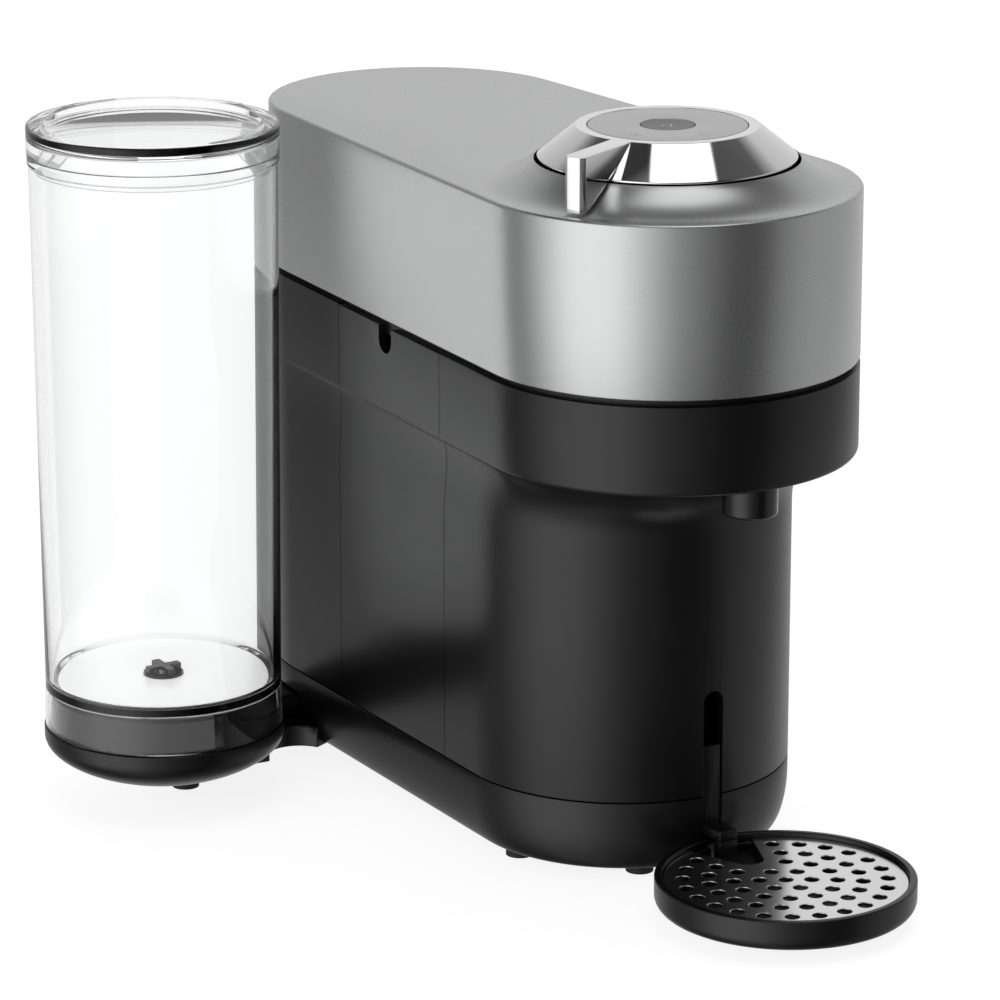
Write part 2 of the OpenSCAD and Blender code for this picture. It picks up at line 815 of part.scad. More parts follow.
// Dark collar in the tank's floor, with a cross over it that cages the poppet and its spring
module tank_valve() {
    color("#303030") translate([tank_x, tank_y, 0]) difference() {
        union() {
            slab(tank_floor - 0.6, tank_floor + 3) circle(6);
            slab(tank_floor + 2.4, tank_floor + 3.4) circle(7.4);
            slab(tank_floor + 3, tank_floor + 6) cross(13.2, 3);
        }
        slab(30, tank_floor + 5) circle(5.1);
    }
}

module valve_poppet() {
    color("#202020") translate([tank_x, tank_y, 0]) {
        slab(tank_floor + 1.8, tank_floor + 2.6) circle(4.6);
        slab(tank_floor + 2.6, tank_floor + 3.2) circle(1.6);
    }
}

module valve_spring() {
    color("silver") translate([tank_x, tank_y, 0]) coil(3, 0.25, 2, tank_floor + 2.7, tank_floor + 4.9);
}

module valve_seal() {
    color("#0a0a0a") translate([tank_x, tank_y, 0]) ring(8, 6.1, tank_floor - 1, tank_floor);
}

placed() upper_shell();
placed() upper_frame();
placed() body_shell();
placed() base_shell();
placed() base_plate();
placed() rubber_feet();
placed() case_screws();
placed() dock_cover();
placed() arm_duct();
placed() dock_spigot();
placed() pod_container();
placed() chassis_deck();
placed() chassis_bulkhead();
placed() hinge_bracket();
placed() hinge_pin();
placed() lid_cap();
placed() lid_disc();
placed() lid_board();
placed() lid_seal();
placed() clamp_bearing();
placed() lever_ring();
placed() brew_button();
placed() button_spring();
placed() pod_clamp();
placed() brew_chamber();
placed() holder_bearing();
placed() pod_holder();
placed() motor_stator();
placed() motor_rotor();
placed() outlet_duct();
placed() outlet_spout();
placed() drip_tray();
placed() tray_stem();
placed() drip_grid();
placed() water_pump();
placed() pump_mounts();
placed() heater_block();
placed() flow_meter();
placed() control_board();
placed() suction_hose();
placed() pump_hose();
placed() brew_hose();
placed() cord_gland();
placed() tank_body();
placed() tank_lid();
placed() tank_valve();
placed() valve_poppet();
placed() valve_spring();
placed() valve_seal();
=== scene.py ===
# %% [markdown]
# # A pod coffee machine, finished around its CAD frame
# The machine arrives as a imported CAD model: closed solids in their real places, in metres, that move
# on joints. The CAD says what fits and what moves. This script gives the machine its looks: it keeps
# the nodes whose shape is right and gives them better finishes, and it builds finer meshes for what
# the eye rests on. Every finer mesh rides on the CAD body that it belongs to.

# %% Load the frame
import json
import math

import bmesh
import bpy
from mathutils import Matrix, Vector


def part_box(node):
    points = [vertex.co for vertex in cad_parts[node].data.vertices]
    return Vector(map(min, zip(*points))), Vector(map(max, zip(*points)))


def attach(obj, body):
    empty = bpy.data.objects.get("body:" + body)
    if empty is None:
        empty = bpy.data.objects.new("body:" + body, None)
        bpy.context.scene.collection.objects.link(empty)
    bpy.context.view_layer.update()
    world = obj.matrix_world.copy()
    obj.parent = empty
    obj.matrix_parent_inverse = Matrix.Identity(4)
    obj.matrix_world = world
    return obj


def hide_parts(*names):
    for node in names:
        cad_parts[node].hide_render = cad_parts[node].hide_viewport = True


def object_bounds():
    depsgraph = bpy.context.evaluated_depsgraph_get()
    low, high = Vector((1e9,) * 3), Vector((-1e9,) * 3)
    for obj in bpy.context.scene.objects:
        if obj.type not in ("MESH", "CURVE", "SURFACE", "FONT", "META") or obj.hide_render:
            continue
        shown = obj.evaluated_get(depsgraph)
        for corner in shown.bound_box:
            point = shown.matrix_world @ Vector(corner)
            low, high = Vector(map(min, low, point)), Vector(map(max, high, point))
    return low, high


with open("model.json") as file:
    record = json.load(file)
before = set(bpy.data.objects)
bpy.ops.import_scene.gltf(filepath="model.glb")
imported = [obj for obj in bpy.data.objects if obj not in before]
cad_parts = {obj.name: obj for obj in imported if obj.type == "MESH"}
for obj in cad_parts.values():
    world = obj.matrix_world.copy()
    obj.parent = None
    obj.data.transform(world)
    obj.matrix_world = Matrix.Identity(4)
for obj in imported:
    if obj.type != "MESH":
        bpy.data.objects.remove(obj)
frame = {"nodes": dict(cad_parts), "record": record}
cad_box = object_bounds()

nodes = frame["nodes"]
print("frame:", len(nodes), "nodes,", [round(side * 1000) for side in cad_box[1] - cad_box[0]], "mm")

# %% [markdown]
# ## Where things stand
# Numbers typed twice drift apart, so the axes come from the CAD nodes' boxes. Sizes below are in
# millimetres, because that is how a moulding is drawn; one function turns them into the scene's
# metres. The machine's own x = 0 is its middle plane and y = 0 is the axis of the lid.

# %% Axes from the frame
MM = 0.001


def axis_of(node):
    """Foot on the table of the upright axis through a node's middle."""
    low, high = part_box(node)
    return Vector(((low.x + high.x) / 2, (low.y + high.y) / 2, 0))


def at(x, y, z, foot=None):
    """Point in metres, from millimetres beside an axis; the lid's axis unless another is given."""
    return (foot or LID) + Vector((x, y, z)) * MM


LID = axis_of("lid_disc")
TANK = axis_of("tank_lid")
SPOUT = axis_of("outlet_spout")
tray_low, tray_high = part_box("drip_tray")
TRAY_R = (tray_high.x - tray_low.x) / 2 / MM
TRAY = Vector((LID.x, tray_low.y + TRAY_R * MM, 0))
shell_low, shell_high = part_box("upper_shell")
HEAD_R = (shell_high.x - shell_low.x) / 2 / MM
TAIL_R = 57.6
TAIL_Y = (shell_high.y - LID.y) / MM - TAIL_R
print("lid axis", [round(v * 1000, 1) for v in LID], "head radius", round(HEAD_R, 1), "mm")

# %% [markdown]
# ## Camera, floor and light
# A long lens from some way off keeps the machine's uprights nearly parallel. The floor is a plain
# pale sheet that glows a little, as a lit table does, and it is left out of reflections, so that the
# tent of light decides what the glossy faces show. The tent is the world itself: one ramp round
# the horizon, one for height, and a bright panel overhead. Lamps would do as well; a tent has no
# edges where none are wanted.

# %% Camera
LENS = 178.0
EYE = Vector((-0.86215, -1.45375, 0.6217))
TARGET = Vector((0.03385, 0.03395, 0.1122))


def make_camera():
    """A long lens aimed at the middle of the machine."""
    data = bpy.data.cameras.new("camera")
    data.lens = LENS
    camera = bpy.data.objects.new("camera", data)
    bpy.context.scene.collection.objects.link(camera)
    camera.location = EYE
    camera.rotation_euler = (TARGET - EYE).to_track_quat("-Z", "Y").to_euler()
    bpy.context.scene.camera = camera
    return math.atan2(EYE.y - TARGET.y, EYE.x - TARGET.x)


eye_bearing = make_camera()
print("camera bearing", round(math.degrees(eye_bearing), 1), "degrees")

# %% [markdown]
# ## Writing shaders as sums
# A node tree is easier to read as arithmetic. `Value` wraps a socket that carries a number and turns
# + - * / into Math nodes; `NodeKit` makes every other node from its type, its settings and its
# inputs. `Finish` is a kit for one material, with the few textures that this machine needs.

# %% A number that varies over a surface
class Value:
    """A socket that carries a number. Arithmetic on it adds Math nodes."""

    def __init__(self, kit, socket):
        self.kit = kit
        self.socket = socket

    def math(self, operation, first, second=0.0):
        made = self.kit.node("ShaderNodeMath", {"operation": operation}, {0: first, 1: second})
        return Value(self.kit, made.outputs[0])

    def __add__(self, other):
        return self.math("ADD", self, other)

    def __radd__(self, other):
        return self.math("ADD", other, self)

    def __sub__(self, other):
        return self.math("SUBTRACT", self, other)

    def __rsub__(self, other):
        return self.math("SUBTRACT", other, self)

    def __mul__(self, other):
        return self.math("MULTIPLY", self, other)

    def __rmul__(self, other):
        return self.math("MULTIPLY", other, self)

    def __truediv__(self, other):
        return self.math("DIVIDE", self, other)


# %% Any other node
class NodeKit:
    """Makes the nodes of one tree."""

    def __init__(self, tree):
        self.tree = tree

    def plug(self, socket, value):
        """Links a socket or a Value into a socket, or sets its number or colour."""
        if isinstance(value, Value):
            value = value.socket
        if isinstance(value, bpy.types.NodeSocket):
            self.tree.links.new(value, socket)
        else:
            socket.default_value = value

    def node(self, kind, settings=None, inputs=None):
        """A node of this kind, with its settings made first and its inputs plugged after."""
        made = self.tree.nodes.new(kind)
        for name, value in (settings or {}).items():
            if name == "stops":
                set_stops(made.color_ramp, value)
            else:
                setattr(made, name, value)
        for key, value in (inputs or {}).items():
            self.plug(made.inputs[key], value)
        return made

    def ramp(self, factor, stops):
        """A number that follows (place, level) stops as the factor goes from 0 to 1."""
        made = self.node("ShaderNodeValToRGB", {"stops": stops}, {"Fac": factor})
        return Value(self, made.outputs["Color"])

    def between(self, value, low, high, blur):
        """1 where the value lies between low and high, falling to 0 over the blur outside."""
        up = self.node("ShaderNodeMapRange", {"interpolation_type": "SMOOTHSTEP"},
                       {0: value, 1: low - blur, 2: low})
        down = self.node("ShaderNodeMapRange", {"interpolation_type": "SMOOTHSTEP"},
                         {0: value, 1: high, 2: high + blur, 3: 1.0, 4: 0.0})
        return Value(self, up.outputs[0]) * Value(self, down.outputs[0])


def set_stops(ramp, stops):
    """Gives a colour ramp its grey (place, level) stops."""
    while len(ramp.elements) < len(stops):
        ramp.elements.new(1.0)
    for element, (place, level) in zip(ramp.elements, stops):
        element.position = place
        element.color = (level, level, level, 1.0)


# %% A material
class Finish(NodeKit):
    """One material round a Principled shader, whose fixed sockets are given by name."""

    def __init__(self, name, fixed):
        self.material = bpy.data.materials.new(name)
        self.material.use_nodes = True
        super().__init__(self.material.node_tree)
        self.shader = self.tree.nodes["Principled BSDF"]
        for socket, value in fixed.items():
            self.shader.inputs[socket].default_value = value

    def set(self, socket, value):
        self.plug(self.shader.inputs[socket], value)

    def noise(self, size, detail=2.0, stretch=(1, 1, 1)):
        """Soft noise between 0 and 1 whose lumps are about this many millimetres across."""
        place = self.node("ShaderNodeTexCoord").outputs["Object"]
        sized = self.node("ShaderNodeMapping", None, {"Vector": place, "Scale": stretch})
        made = self.node("ShaderNodeTexNoise", None,
                         {"Vector": sized.outputs[0], "Scale": 1 / (size * MM), "Detail": detail})
        return Value(self, made.outputs[0])

    def mix(self, factor, first, second):
        """Colour between two colours."""
        made = self.node("ShaderNodeMix", {"data_type": "RGBA"}, {0: factor, 6: first, 7: second})
        return made.outputs[2]

    def bump(self, height, depth):
        """Relief of this depth in millimetres where the height goes from 0 to 1."""
        made = self.node("ShaderNodeBump", None,
                         {"Height": height, "Distance": depth * MM, "Strength": 1.0})
        self.set("Normal", made.outputs[0])


def grey(level, tint=(1.0, 1.0, 1.0)):
    """Colour of one level, slightly tinted."""
    return (level * tint[0], level * tint[1], level * tint[2], 1.0)


# %% [markdown]
# ### The tent of light
# Bearings are counted from the camera, so 0 is the light behind the camera, negative is to the
# left and 180 is the wall behind the machine. A big soft box stands front left, a black flag just
# right of the camera gives the round front its dark stripe, and the rear wall is bright.

# %% Tent and floor
WALLS = [(-180, 0.78), (-145, 0.5), (-118, 0.24), (-94, 0.24), (-76, 0.9), (-60, 1.5), (-32, 1.5),
         (-14, 0.85), (4, 0.34), (22, 0.18), (36, 0.03), (56, 0.03), (72, 0.3), (92, 0.44), (120, 0.46),
         (150, 0.62), (180, 0.78)]
HEIGHTS = [(-90, 0.15), (-50, 0.4), (-30, 1.0), (32, 1.0), (44, 0.22), (90, 0.12)]
PANEL_ACROSS = (-0.13, 0.37)
PANEL_ALONG = (-0.32, 0.36)
PANEL_LEVEL = 1.46


def make_world():
    """World that is white to the camera and a tent of light to everything else."""
    world = bpy.data.worlds.new("tent")
    world.use_nodes = True
    bpy.context.scene.world = world
    kit = NodeKit(world.node_tree)
    direction = kit.node("ShaderNodeTexCoord").outputs["Generated"]
    turned = kit.node("ShaderNodeVectorRotate", {"rotation_type": "Z_AXIS"},
                      {"Vector": direction, "Angle": -eye_bearing})
    parts = kit.node("ShaderNodeSeparateXYZ", None, {0: turned.outputs[0]})
    along, across, up = [Value(kit, socket) for socket in parts.outputs]
    bearing = up.math("ARCTAN2", across, along) / math.tau + 0.5
    height = up.math("ARCSINE", up) / math.pi + 0.5
    walls = kit.ramp(bearing, [(angle / 360 + 0.5, level) for angle, level in WALLS])
    heights = kit.ramp(height, [(angle / 180 + 0.5, level) for angle, level in HEIGHTS])
    panel = (kit.between(across, *PANEL_ACROSS, 0.03) * kit.between(along, *PANEL_ALONG, 0.03)
             * kit.between(up, 0.0, 1.0, 0.01) * PANEL_LEVEL)
    tent = walls * heights
    seen = Value(kit, kit.node("ShaderNodeLightPath").outputs["Is Camera Ray"])
    light = tent.math("MAXIMUM", tent, panel)
    background = world.node_tree.nodes["Background"]
    kit.plug(background.inputs["Color"], light.math("MAXIMUM", light, seen))


def make_floor(half=9.0, drop=0.0002):
    """Pale sheet under the machine."""
    finish = Finish("pale_floor", {"Base Color": grey(0.4), "Roughness": 0.7,
                                   "Emission Color": grey(1.0), "Emission Strength": 0.86})
    corners = [Vector((x * half, y * half, -drop)) for x, y in ((-1, -1), (1, -1), (1, 1), (-1, 1))]
    mesh = bpy.data.meshes.new("floor")
    mesh.from_pydata(corners, [], [(0, 1, 2, 3)])
    floor = bpy.data.objects.new("floor", mesh)
    bpy.context.scene.collection.objects.link(floor)
    mesh.materials.append(finish.material)
    floor.visible_glossy = False


make_world()
make_floor()
bpy.context.scene.view_settings.view_transform = "Standard"
print("tent of", len(WALLS), "wall levels and one overhead panel")

# %% [markdown]
# ## Mesh helpers
# Almost everything here is one of three shapes: an outline turned on an axis, an outline lofted
# through rings, or a flat outline pushed along a line. Corners are given a radius, because no moulded
# or machined edge is perfectly sharp and the thin highlight along it is what makes it look real.

# %% Outlines with rounded corners
def rounded(corners, steps=5):
    """Closed outline through (across, up, radius) corners, each turned into an arc."""
    points = []
    for index, (across, up, radius) in enumerate(corners):
        corner = Vector((across, up))
        if radius == 0:
            points.append(corner)
            continue
        before = (Vector(corners[index - 1][:2]) - corner).normalized()
        after = (Vector(corners[(index + 1) % len(corners)][:2]) - corner).normalized()
        half = before.angle(after) / 2
        centre = corner + (before + after).normalized() * radius / math.sin(half)
        start = corner + before * radius / math.tan(half) - centre
        end = corner + after * radius / math.tan(half) - centre
        points += [centre + start.slerp(end, step / steps) * radius for step in range(steps + 1)]
    return points


def arc(centre_x, centre_y, radius, start, end, steps):
    """Points along an arc, with its angles in degrees."""
    turns = [math.radians(start + (end - start) * step / steps) for step in range(steps + 1)]
    return [Vector((centre_x + radius * math.cos(t), centre_y + radius * math.sin(t))) for t in turns]


def polar(radius, degrees):
    """Flat offset at this radius and angle, in millimetres."""
    turn = math.radians(degrees)
    return radius * math.cos(turn), radius * math.sin(turn)


# %% Meshes from outlines
def new_piece(name, points, faces):
    """Object from points and faces, with its faces turned outwards."""
    mesh = bpy.data.meshes.new(name)
    mesh.from_pydata(points, [], faces)
    tidy = bmesh.new()
    tidy.from_mesh(mesh)
    bmesh.ops.remove_doubles(tidy, verts=tidy.verts, dist=0.001 * MM)
    bmesh.ops.recalc_face_normals(tidy, faces=tidy.faces)
    tidy.to_mesh(mesh)
    tidy.free()
    piece = bpy.data.objects.new(name, mesh)
    bpy.context.scene.collection.objects.link(piece)
    return piece


def skin(name, rings, loop=False):
    """Surface through rings of equal length; a loop joins the last ring to the first."""
    count = len(rings[0])
    starts = [index * count for index in range(len(rings))]
    pairs = list(zip(starts, starts[1:]))
    caps = [range(count), range(starts[-1], starts[-1] + count)]
    if loop:
        pairs.append((starts[-1], 0))
        caps = []
    faces = [(a + i, a + (i + 1) % count, b + (i + 1) % count, b + i)
             for a, b in pairs for i in range(count)]
    return new_piece(name, [point for ring in rings for point in ring], faces + [list(c) for c in caps])


def prism(name, outline, along):
    """Closed solid: a flat outline pushed along a direction."""
    return skin(name, [outline, [point + along for point in outline]])


def lathe(name, foot, profile, steps=144):
    """Closed profile of (radius, height) points, turned about an upright axis."""
    turning = bmesh.new()
    verts = [turning.verts.new(at(max(point[0], 0), 0, point[1], foot)) for point in profile]
    edges = [turning.edges.new((verts[index - 1], verts[index])) for index in range(len(verts))]
    bmesh.ops.spin(turning, geom=verts + edges, cent=foot, axis=(0, 0, 1), angle=math.tau,
                   steps=steps, use_merge=True)
    bmesh.ops.remove_doubles(turning, verts=turning.verts, dist=0.001 * MM)
    loose = [edge for edge in turning.edges if not edge.link_faces]
    bmesh.ops.delete(turning, geom=loose, context="EDGES")
    bmesh.ops.recalc_face_normals(turning, faces=turning.faces)
    mesh = bpy.data.meshes.new(name)
    turning.to_mesh(mesh)
    turning.free()
    piece = bpy.data.objects.new(name, mesh)
    bpy.context.scene.collection.objects.link(piece)
    return piece


def block(name, low, high, foot=None):
    """Box between two corners, as a solid to cut or to join."""
    outline = [at(x, y, low[2], foot) for x, y in
               ((low[0], low[1]), (high[0], low[1]), (high[0], high[1]), (low[0], high[1]))]
    return prism(name, outline, Vector((0, 0, (high[2] - low[2]) * MM)))


# %% Cutting, rounding and fitting
def settle(piece):
    """Makes a piece's modifiers part of its mesh."""
    graph = bpy.context.evaluated_depsgraph_get()
    mesh = bpy.data.meshes.new_from_object(piece.evaluated_get(graph))
    piece.modifiers.clear()
    piece.data = mesh
    return piece


def carve(piece, tool, operation="DIFFERENCE"):
    """Cuts, joins or crosses a piece with a second solid, which is used up."""
    step = piece.modifiers.new("carve", "BOOLEAN")
    step.operation = operation
    step.solver = "EXACT"
    step.object = tool
    settle(piece)
    bpy.data.objects.remove(tool)
    return piece


def soften(piece, width, steps=3, angle=35):
    """Rounds a piece's sharp edges by a width in millimetres."""
    bevel = piece.modifiers.new("soften", "BEVEL")
    bevel.width = width * MM
    bevel.segments = steps
    bevel.limit_method = "ANGLE"
    bevel.angle_limit = math.radians(angle)
    return settle(piece)


def join(first, *others):
    """Several meshes as one piece."""
    merged = bmesh.new()
    for part in (first, *others):
        merged.from_mesh(part.data)
    merged.to_mesh(first.data)
    merged.free()
    for part in others:
        bpy.data.objects.remove(part)
    return first


def fit(piece, finish, body, stands_for=(), angle=32):
    """Gives a piece its shading and finish and its body, and hides the CAD nodes that it stands for."""
    piece.data.shade_smooth()
    piece.data.set_sharp_from_angle(angle=math.radians(angle))
    piece.data.materials.clear()
    piece.data.materials.append(finish)
    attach(piece, body)
    if stands_for:
        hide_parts(*stands_for)
    print(piece.name, "rides on", body, "with", len(piece.data.polygons), "faces")
    return piece


# %% [markdown]
# ### The machine's plan
# Seen from above, the head and the column are each two circles with straight sides between them. The
# points of that outline are placed so that, seen from the lid's axis, they are evenly spread. A round
# mouth in the flat top can then share the outline's points one to one, with no crossing faces.

# %% Rings
ARC_STEPS = 56
SIDE_STEPS = 18
SIDE_SPREAD = math.radians(70)


def outline(front_r, front_y, rear_r):
    """Points in millimetres round a front and a rear circle, anticlockwise from above."""
    lean = math.asin((front_r - rear_r) / (TAIL_Y - front_y))
    tilt = math.degrees(lean)
    front = arc(0, front_y, front_r, 180 - tilt, 360 + tilt, ARC_STEPS)
    rear = arc(0, TAIL_Y, rear_r, tilt, 180 - tilt, ARC_STEPS)
    shares = [math.tan(SIDE_SPREAD * k / SIDE_STEPS) / math.tan(SIDE_SPREAD) for k in range(1, SIDE_STEPS)]
    right = [front[-1].lerp(rear[0], share) for share in shares]
    left = [front[0].lerp(rear[-1], share) for share in reversed(shares)]
    return front + right + rear + left


def plan_ring(z, front_r, front_y, rear_r):
    """Ring of the machine's plan at a height."""
    return [at(point.x, point.y, z) for point in outline(front_r, front_y, rear_r)]


def head_ring(inset, z):
    return plan_ring(z, HEAD_R - inset, 0, TAIL_R - inset)


def column_ring(inset, z):
    return plan_ring(z, COLUMN_R - inset, COLUMN_Y, TAIL_R - inset)


def round_ring(radius, z):
    """Ring round the lid's axis that shares the plan's points."""
    ways = [point.normalized() for point in outline(HEAD_R, 0, TAIL_R)]
    return [at(way.x * radius, way.y * radius, z) for way in ways]


COLUMN_R = 60.5
COLUMN_Y = 27.2
WALL = 2.5
print("plan outline of", len(outline(HEAD_R, 0, TAIL_R)), "points")

# %% [markdown]
# ## Finishes
# Each finish is a small function. A base colour and a roughness that drift a little over the surface
# stop it from looking like a computer's flat fill, and a fine bump gives the grain that catches light.

# %% Metals
def satin_grey_paint():
    """Metal-flake paint: mostly metallic, with flakes too fine to see one by one."""
    finish = Finish("satin_grey_paint", {"Metallic": 0.92, "IOR": 1.5})
    flakes = finish.noise(0.45, 2.0)
    drift = finish.noise(60.0, 1.0)
    finish.set("Base Color", finish.mix(flakes * 0.5 + drift * 0.5,
                                        grey(0.5, (0.985, 1.0, 0.995)), grey(0.6, (0.985, 1.0, 0.995))))
    finish.set("Roughness", drift * 0.05 + flakes * 0.06 + 0.23)
    finish.bump(flakes, 0.012)
    return finish.material


def chrome_plate():
    """Bright plating with a trace of handling marks in its gloss."""
    finish = Finish("chrome_plate", {"Metallic": 1.0, "Base Color": grey(0.86)})
    smears = finish.noise(9.0, 4.0, (1, 1, 0.4))
    finish.set("Roughness", smears * 0.05 + 0.03)
    finish.bump(smears, 0.002)
    return finish.material


def turned_aluminium(foot):
    """Satin disc with the fine rings that a lathe leaves."""
    finish = Finish("turned_aluminium", {"Metallic": 1.0})
    place = finish.node("ShaderNodeTexCoord").outputs["Object"]
    spread = finish.node("ShaderNodeVectorMath", {"operation": "SUBTRACT"}, {0: place, 1: foot})
    flat = finish.node("ShaderNodeVectorMath", {"operation": "MULTIPLY"},
                       {0: spread.outputs[0], 1: (1, 1, 0)})
    radius = Value(finish, finish.node("ShaderNodeVectorMath", {"operation": "LENGTH"},
                                       {0: flat.outputs[0]}).outputs["Value"])
    rings = Value(finish, finish.node("ShaderNodeTexNoise", {"noise_dimensions": "1D"},
                                      {"W": radius / (0.12 * MM), "Scale": 1.0, "Detail": 3.0}).outputs[0])
    finish.set("Base Color", finish.mix(rings, grey(0.5), grey(0.62)))
    finish.set("Roughness", rings * 0.12 + 0.26)
    finish.bump(rings, 0.004)
    return finish.material


def pierced_steel():
    """Rolled stainless sheet: long faint scratches one way over a bright face."""
    finish = Finish("pierced_steel", {"Metallic": 1.0})
    rolled = finish.noise(0.5, 4.0, (1.0, 0.06, 1.0))
    clouds = finish.noise(16.0, 2.0)
    finish.set("Base Color", finish.mix(rolled, grey(0.8), grey(0.9)))
    finish.set("Roughness", rolled * 0.08 + clouds * 0.06 + 0.12)
    finish.bump(rolled, 0.004)
    return finish.material


def plain_metal(name, level, rough, grain):
    """Metal of the working parts: steel, alloy or iron by its level, roughness and grain."""
    finish = Finish(name, {"Metallic": 1.0})
    lumps = finish.noise(grain, 4.0)
    finish.set("Base Color", finish.mix(lumps, grey(level * 0.85), grey(level * 1.1)))
    finish.set("Roughness", lumps * 0.15 + rough)
    finish.bump(lumps, 0.02)
    return finish.material


# %% Plastics and rubber
def moulding(name, level, rough, grain=0.35, relief=0.012, tint=(1.0, 1.0, 1.0)):
    """Moulded plastic: a fine spark-eroded grain and a gloss that drifts over the piece."""
    finish = Finish(name, {"IOR": 1.5})
    lumps = finish.noise(grain, 3.0)
    drift = finish.noise(35.0, 2.0)
    finish.set("Base Color", finish.mix(drift, grey(level * 0.85, tint), grey(level * 1.15, tint)))
    finish.set("Roughness", lumps * 0.06 + drift * 0.06 + rough - 0.06)
    finish.bump(lumps, relief)
    return finish.material


def clear_plastic():
    """Clear polished plastic, with the least waviness that moulding leaves."""
    finish = Finish("clear_plastic", {"Base Color": grey(0.985, (0.995, 1.0, 1.0)),
                                      "Transmission Weight": 1.0, "IOR": 1.47})
    waves = finish.noise(30.0, 1.0)
    finish.set("Roughness", waves * 0.015)
    finish.bump(waves, 0.01)
    return finish.material


def frosted_floor():
    """Pale floor of the tank. A little glow stands in for the light that the clear walls gather."""
    finish = Finish("frosted_floor", {"IOR": 1.49, "Emission Color": grey(1.0), "Emission Strength": 0.62})
    clouds = finish.noise(20.0, 2.0)
    finish.set("Base Color", finish.mix(clouds, grey(0.9), grey(0.97)))
    finish.set("Metallic", clouds * 0.06 + 0.12)
    finish.set("Roughness", clouds * 0.08 + 0.24)
    return finish.material


def board_lacquer():
    """Green lacquer over copper tracks, which show as lighter right-angled lines."""
    finish = Finish("board_lacquer", {"IOR": 1.5})
    place = finish.node("ShaderNodeTexCoord").outputs["Object"]
    tracks = finish.node("ShaderNodeTexBrick", {"offset": 0.3},
                         {"Vector": place, "Scale": 120.0, "Mortar Size": 0.05})
    lines = Value(finish, tracks.outputs["Fac"])
    finish.set("Base Color", finish.mix(lines, (0.01, 0.1, 0.04, 1.0), (0.05, 0.25, 0.1, 1.0)))
    finish.set("Roughness", lines * 0.15 + 0.3)
    finish.bump(lines, 0.03)
    return finish.material


FINISHES = {
    "satin_metal": satin_grey_paint(),
    "black_plastic": moulding("black_moulding", 0.004, 0.3),
    "deep_black": moulding("deep_black", 0.002, 0.42),
    "gloss_black": moulding("gloss_black", 0.006, 0.12, 4.0, 0.004),
    "clear_plastic": clear_plastic(),
    "chrome": chrome_plate(),
    "satin_disc": turned_aluminium(LID),
    "button_grey": moulding("button_grey", 0.19, 0.38),
    "pierced_steel": pierced_steel(),
    "rubber": moulding("rubber", 0.01, 0.75, 0.8, 0.03),
    "steel": plain_metal("bright_steel", 0.6, 0.2, 0.8),
    "frame_grey": moulding("frame_grey", 0.09, 0.5, 0.6, 0.02),
    "motor_steel": plain_metal("motor_steel", 0.3, 0.35, 1.2),
    "cast_alloy": plain_metal("cast_alloy", 0.5, 0.45, 0.9),
    "board_green": board_lacquer(),
    "milky_hose": moulding("milky_hose", 0.68, 0.3, 6.0, 0.02),
}
FROSTED = frosted_floor()
PRINT = moulding("white_print", 0.7, 0.45)
print(len(FINISHES), "finishes for the CAD's material slots")

# %% [markdown]
# ### CAD nodes that keep their shape
# A chassis, a pump or a pin is already right in CAD, and the machine hides most of them. Each keeps
# its mesh and takes the finish of its own material slot from the record.

# %% Finishes on the CAD nodes
for part in frame["record"]["subparts"]:
    node = nodes[part["node"]]
    if not node.material_slots:
        node.data.materials.append(None)
    for place in node.material_slots:
        place.material = FINISHES[part["material_slot"]]

# %% [markdown]
# ## Upper shell
# The grey hood is one moulding: a band with a crisp rounded rim, a flat top, and a flare that rises
# round the lid like the foot of a volcano. It is lofted as one closed skin, out along the band, over
# the top, up the flare, down the mouth and back along the inside, so it has a real wall.

# %% Upper shell
SHELL_LOW = shell_low.z / MM
FLARE_R = 65.0
MOUTH_R = 46.2
FLARE_STEPS = 18
SHELL_TOP = 245.8
FLARE_TOP = shell_high.z / MM


def flare_height(share):
    """Height of the flare, where share is 0 at its foot and 1 at the mouth."""
    return SHELL_TOP + (FLARE_TOP - SHELL_TOP) * share ** 1.8


def make_upper_cover():
    rim = 1.3
    lip = 0.5
    rings = [head_ring(WALL, SHELL_LOW), head_ring(lip, SHELL_LOW)]
    rings += [head_ring(lip - lip * math.sin(t), SHELL_LOW + lip - lip * math.cos(t))
              for t in (math.pi / 8, math.pi / 4, math.pi / 2)]
    rings += [head_ring(rim - rim * math.cos(t), SHELL_TOP - rim + rim * math.sin(t))
              for t in [math.pi / 12 * k for k in range(7)]]
    shares = [k / FLARE_STEPS for k in range(FLARE_STEPS)]
    rings += [round_ring(FLARE_R - (FLARE_R - MOUTH_R) * u, flare_height(u)) for u in shares]
    rings += [round_ring(MOUTH_R + lip * (1 - math.sin(t)), FLARE_TOP - lip + lip * math.cos(t))
              for t in (0.3, 0.8, math.pi / 2)]
    rings += [round_ring(MOUTH_R, FLARE_TOP - WALL), round_ring(FLARE_R - 3, SHELL_TOP - WALL),
              head_ring(WALL, SHELL_TOP - WALL)]
    return skin("upper_cover", rings, loop=True)


fit(make_upper_cover(), FINISHES["satin_metal"], "machine", ["upper_shell"])

# %% [markdown]
# ## Body casing
# The black casing is a round-fronted column that swells into the head. The swell is a quarter turn:
# as the height climbs as a sine, the front circle grows and its centre slides forward as a cosine.
# The side panel, the tray's slot and the spout's hole are then cut with solid tools, the way a
# mould's slides would leave them.

# %% Casing loft
BODY_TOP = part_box("body_shell")[1].z / MM
SEAM_Z = 30.6
BLEND_LOW = 127.0
HEAD_LOW = 151.0
HEAD_EDGE = 2.0
BLEND_STEPS = 14


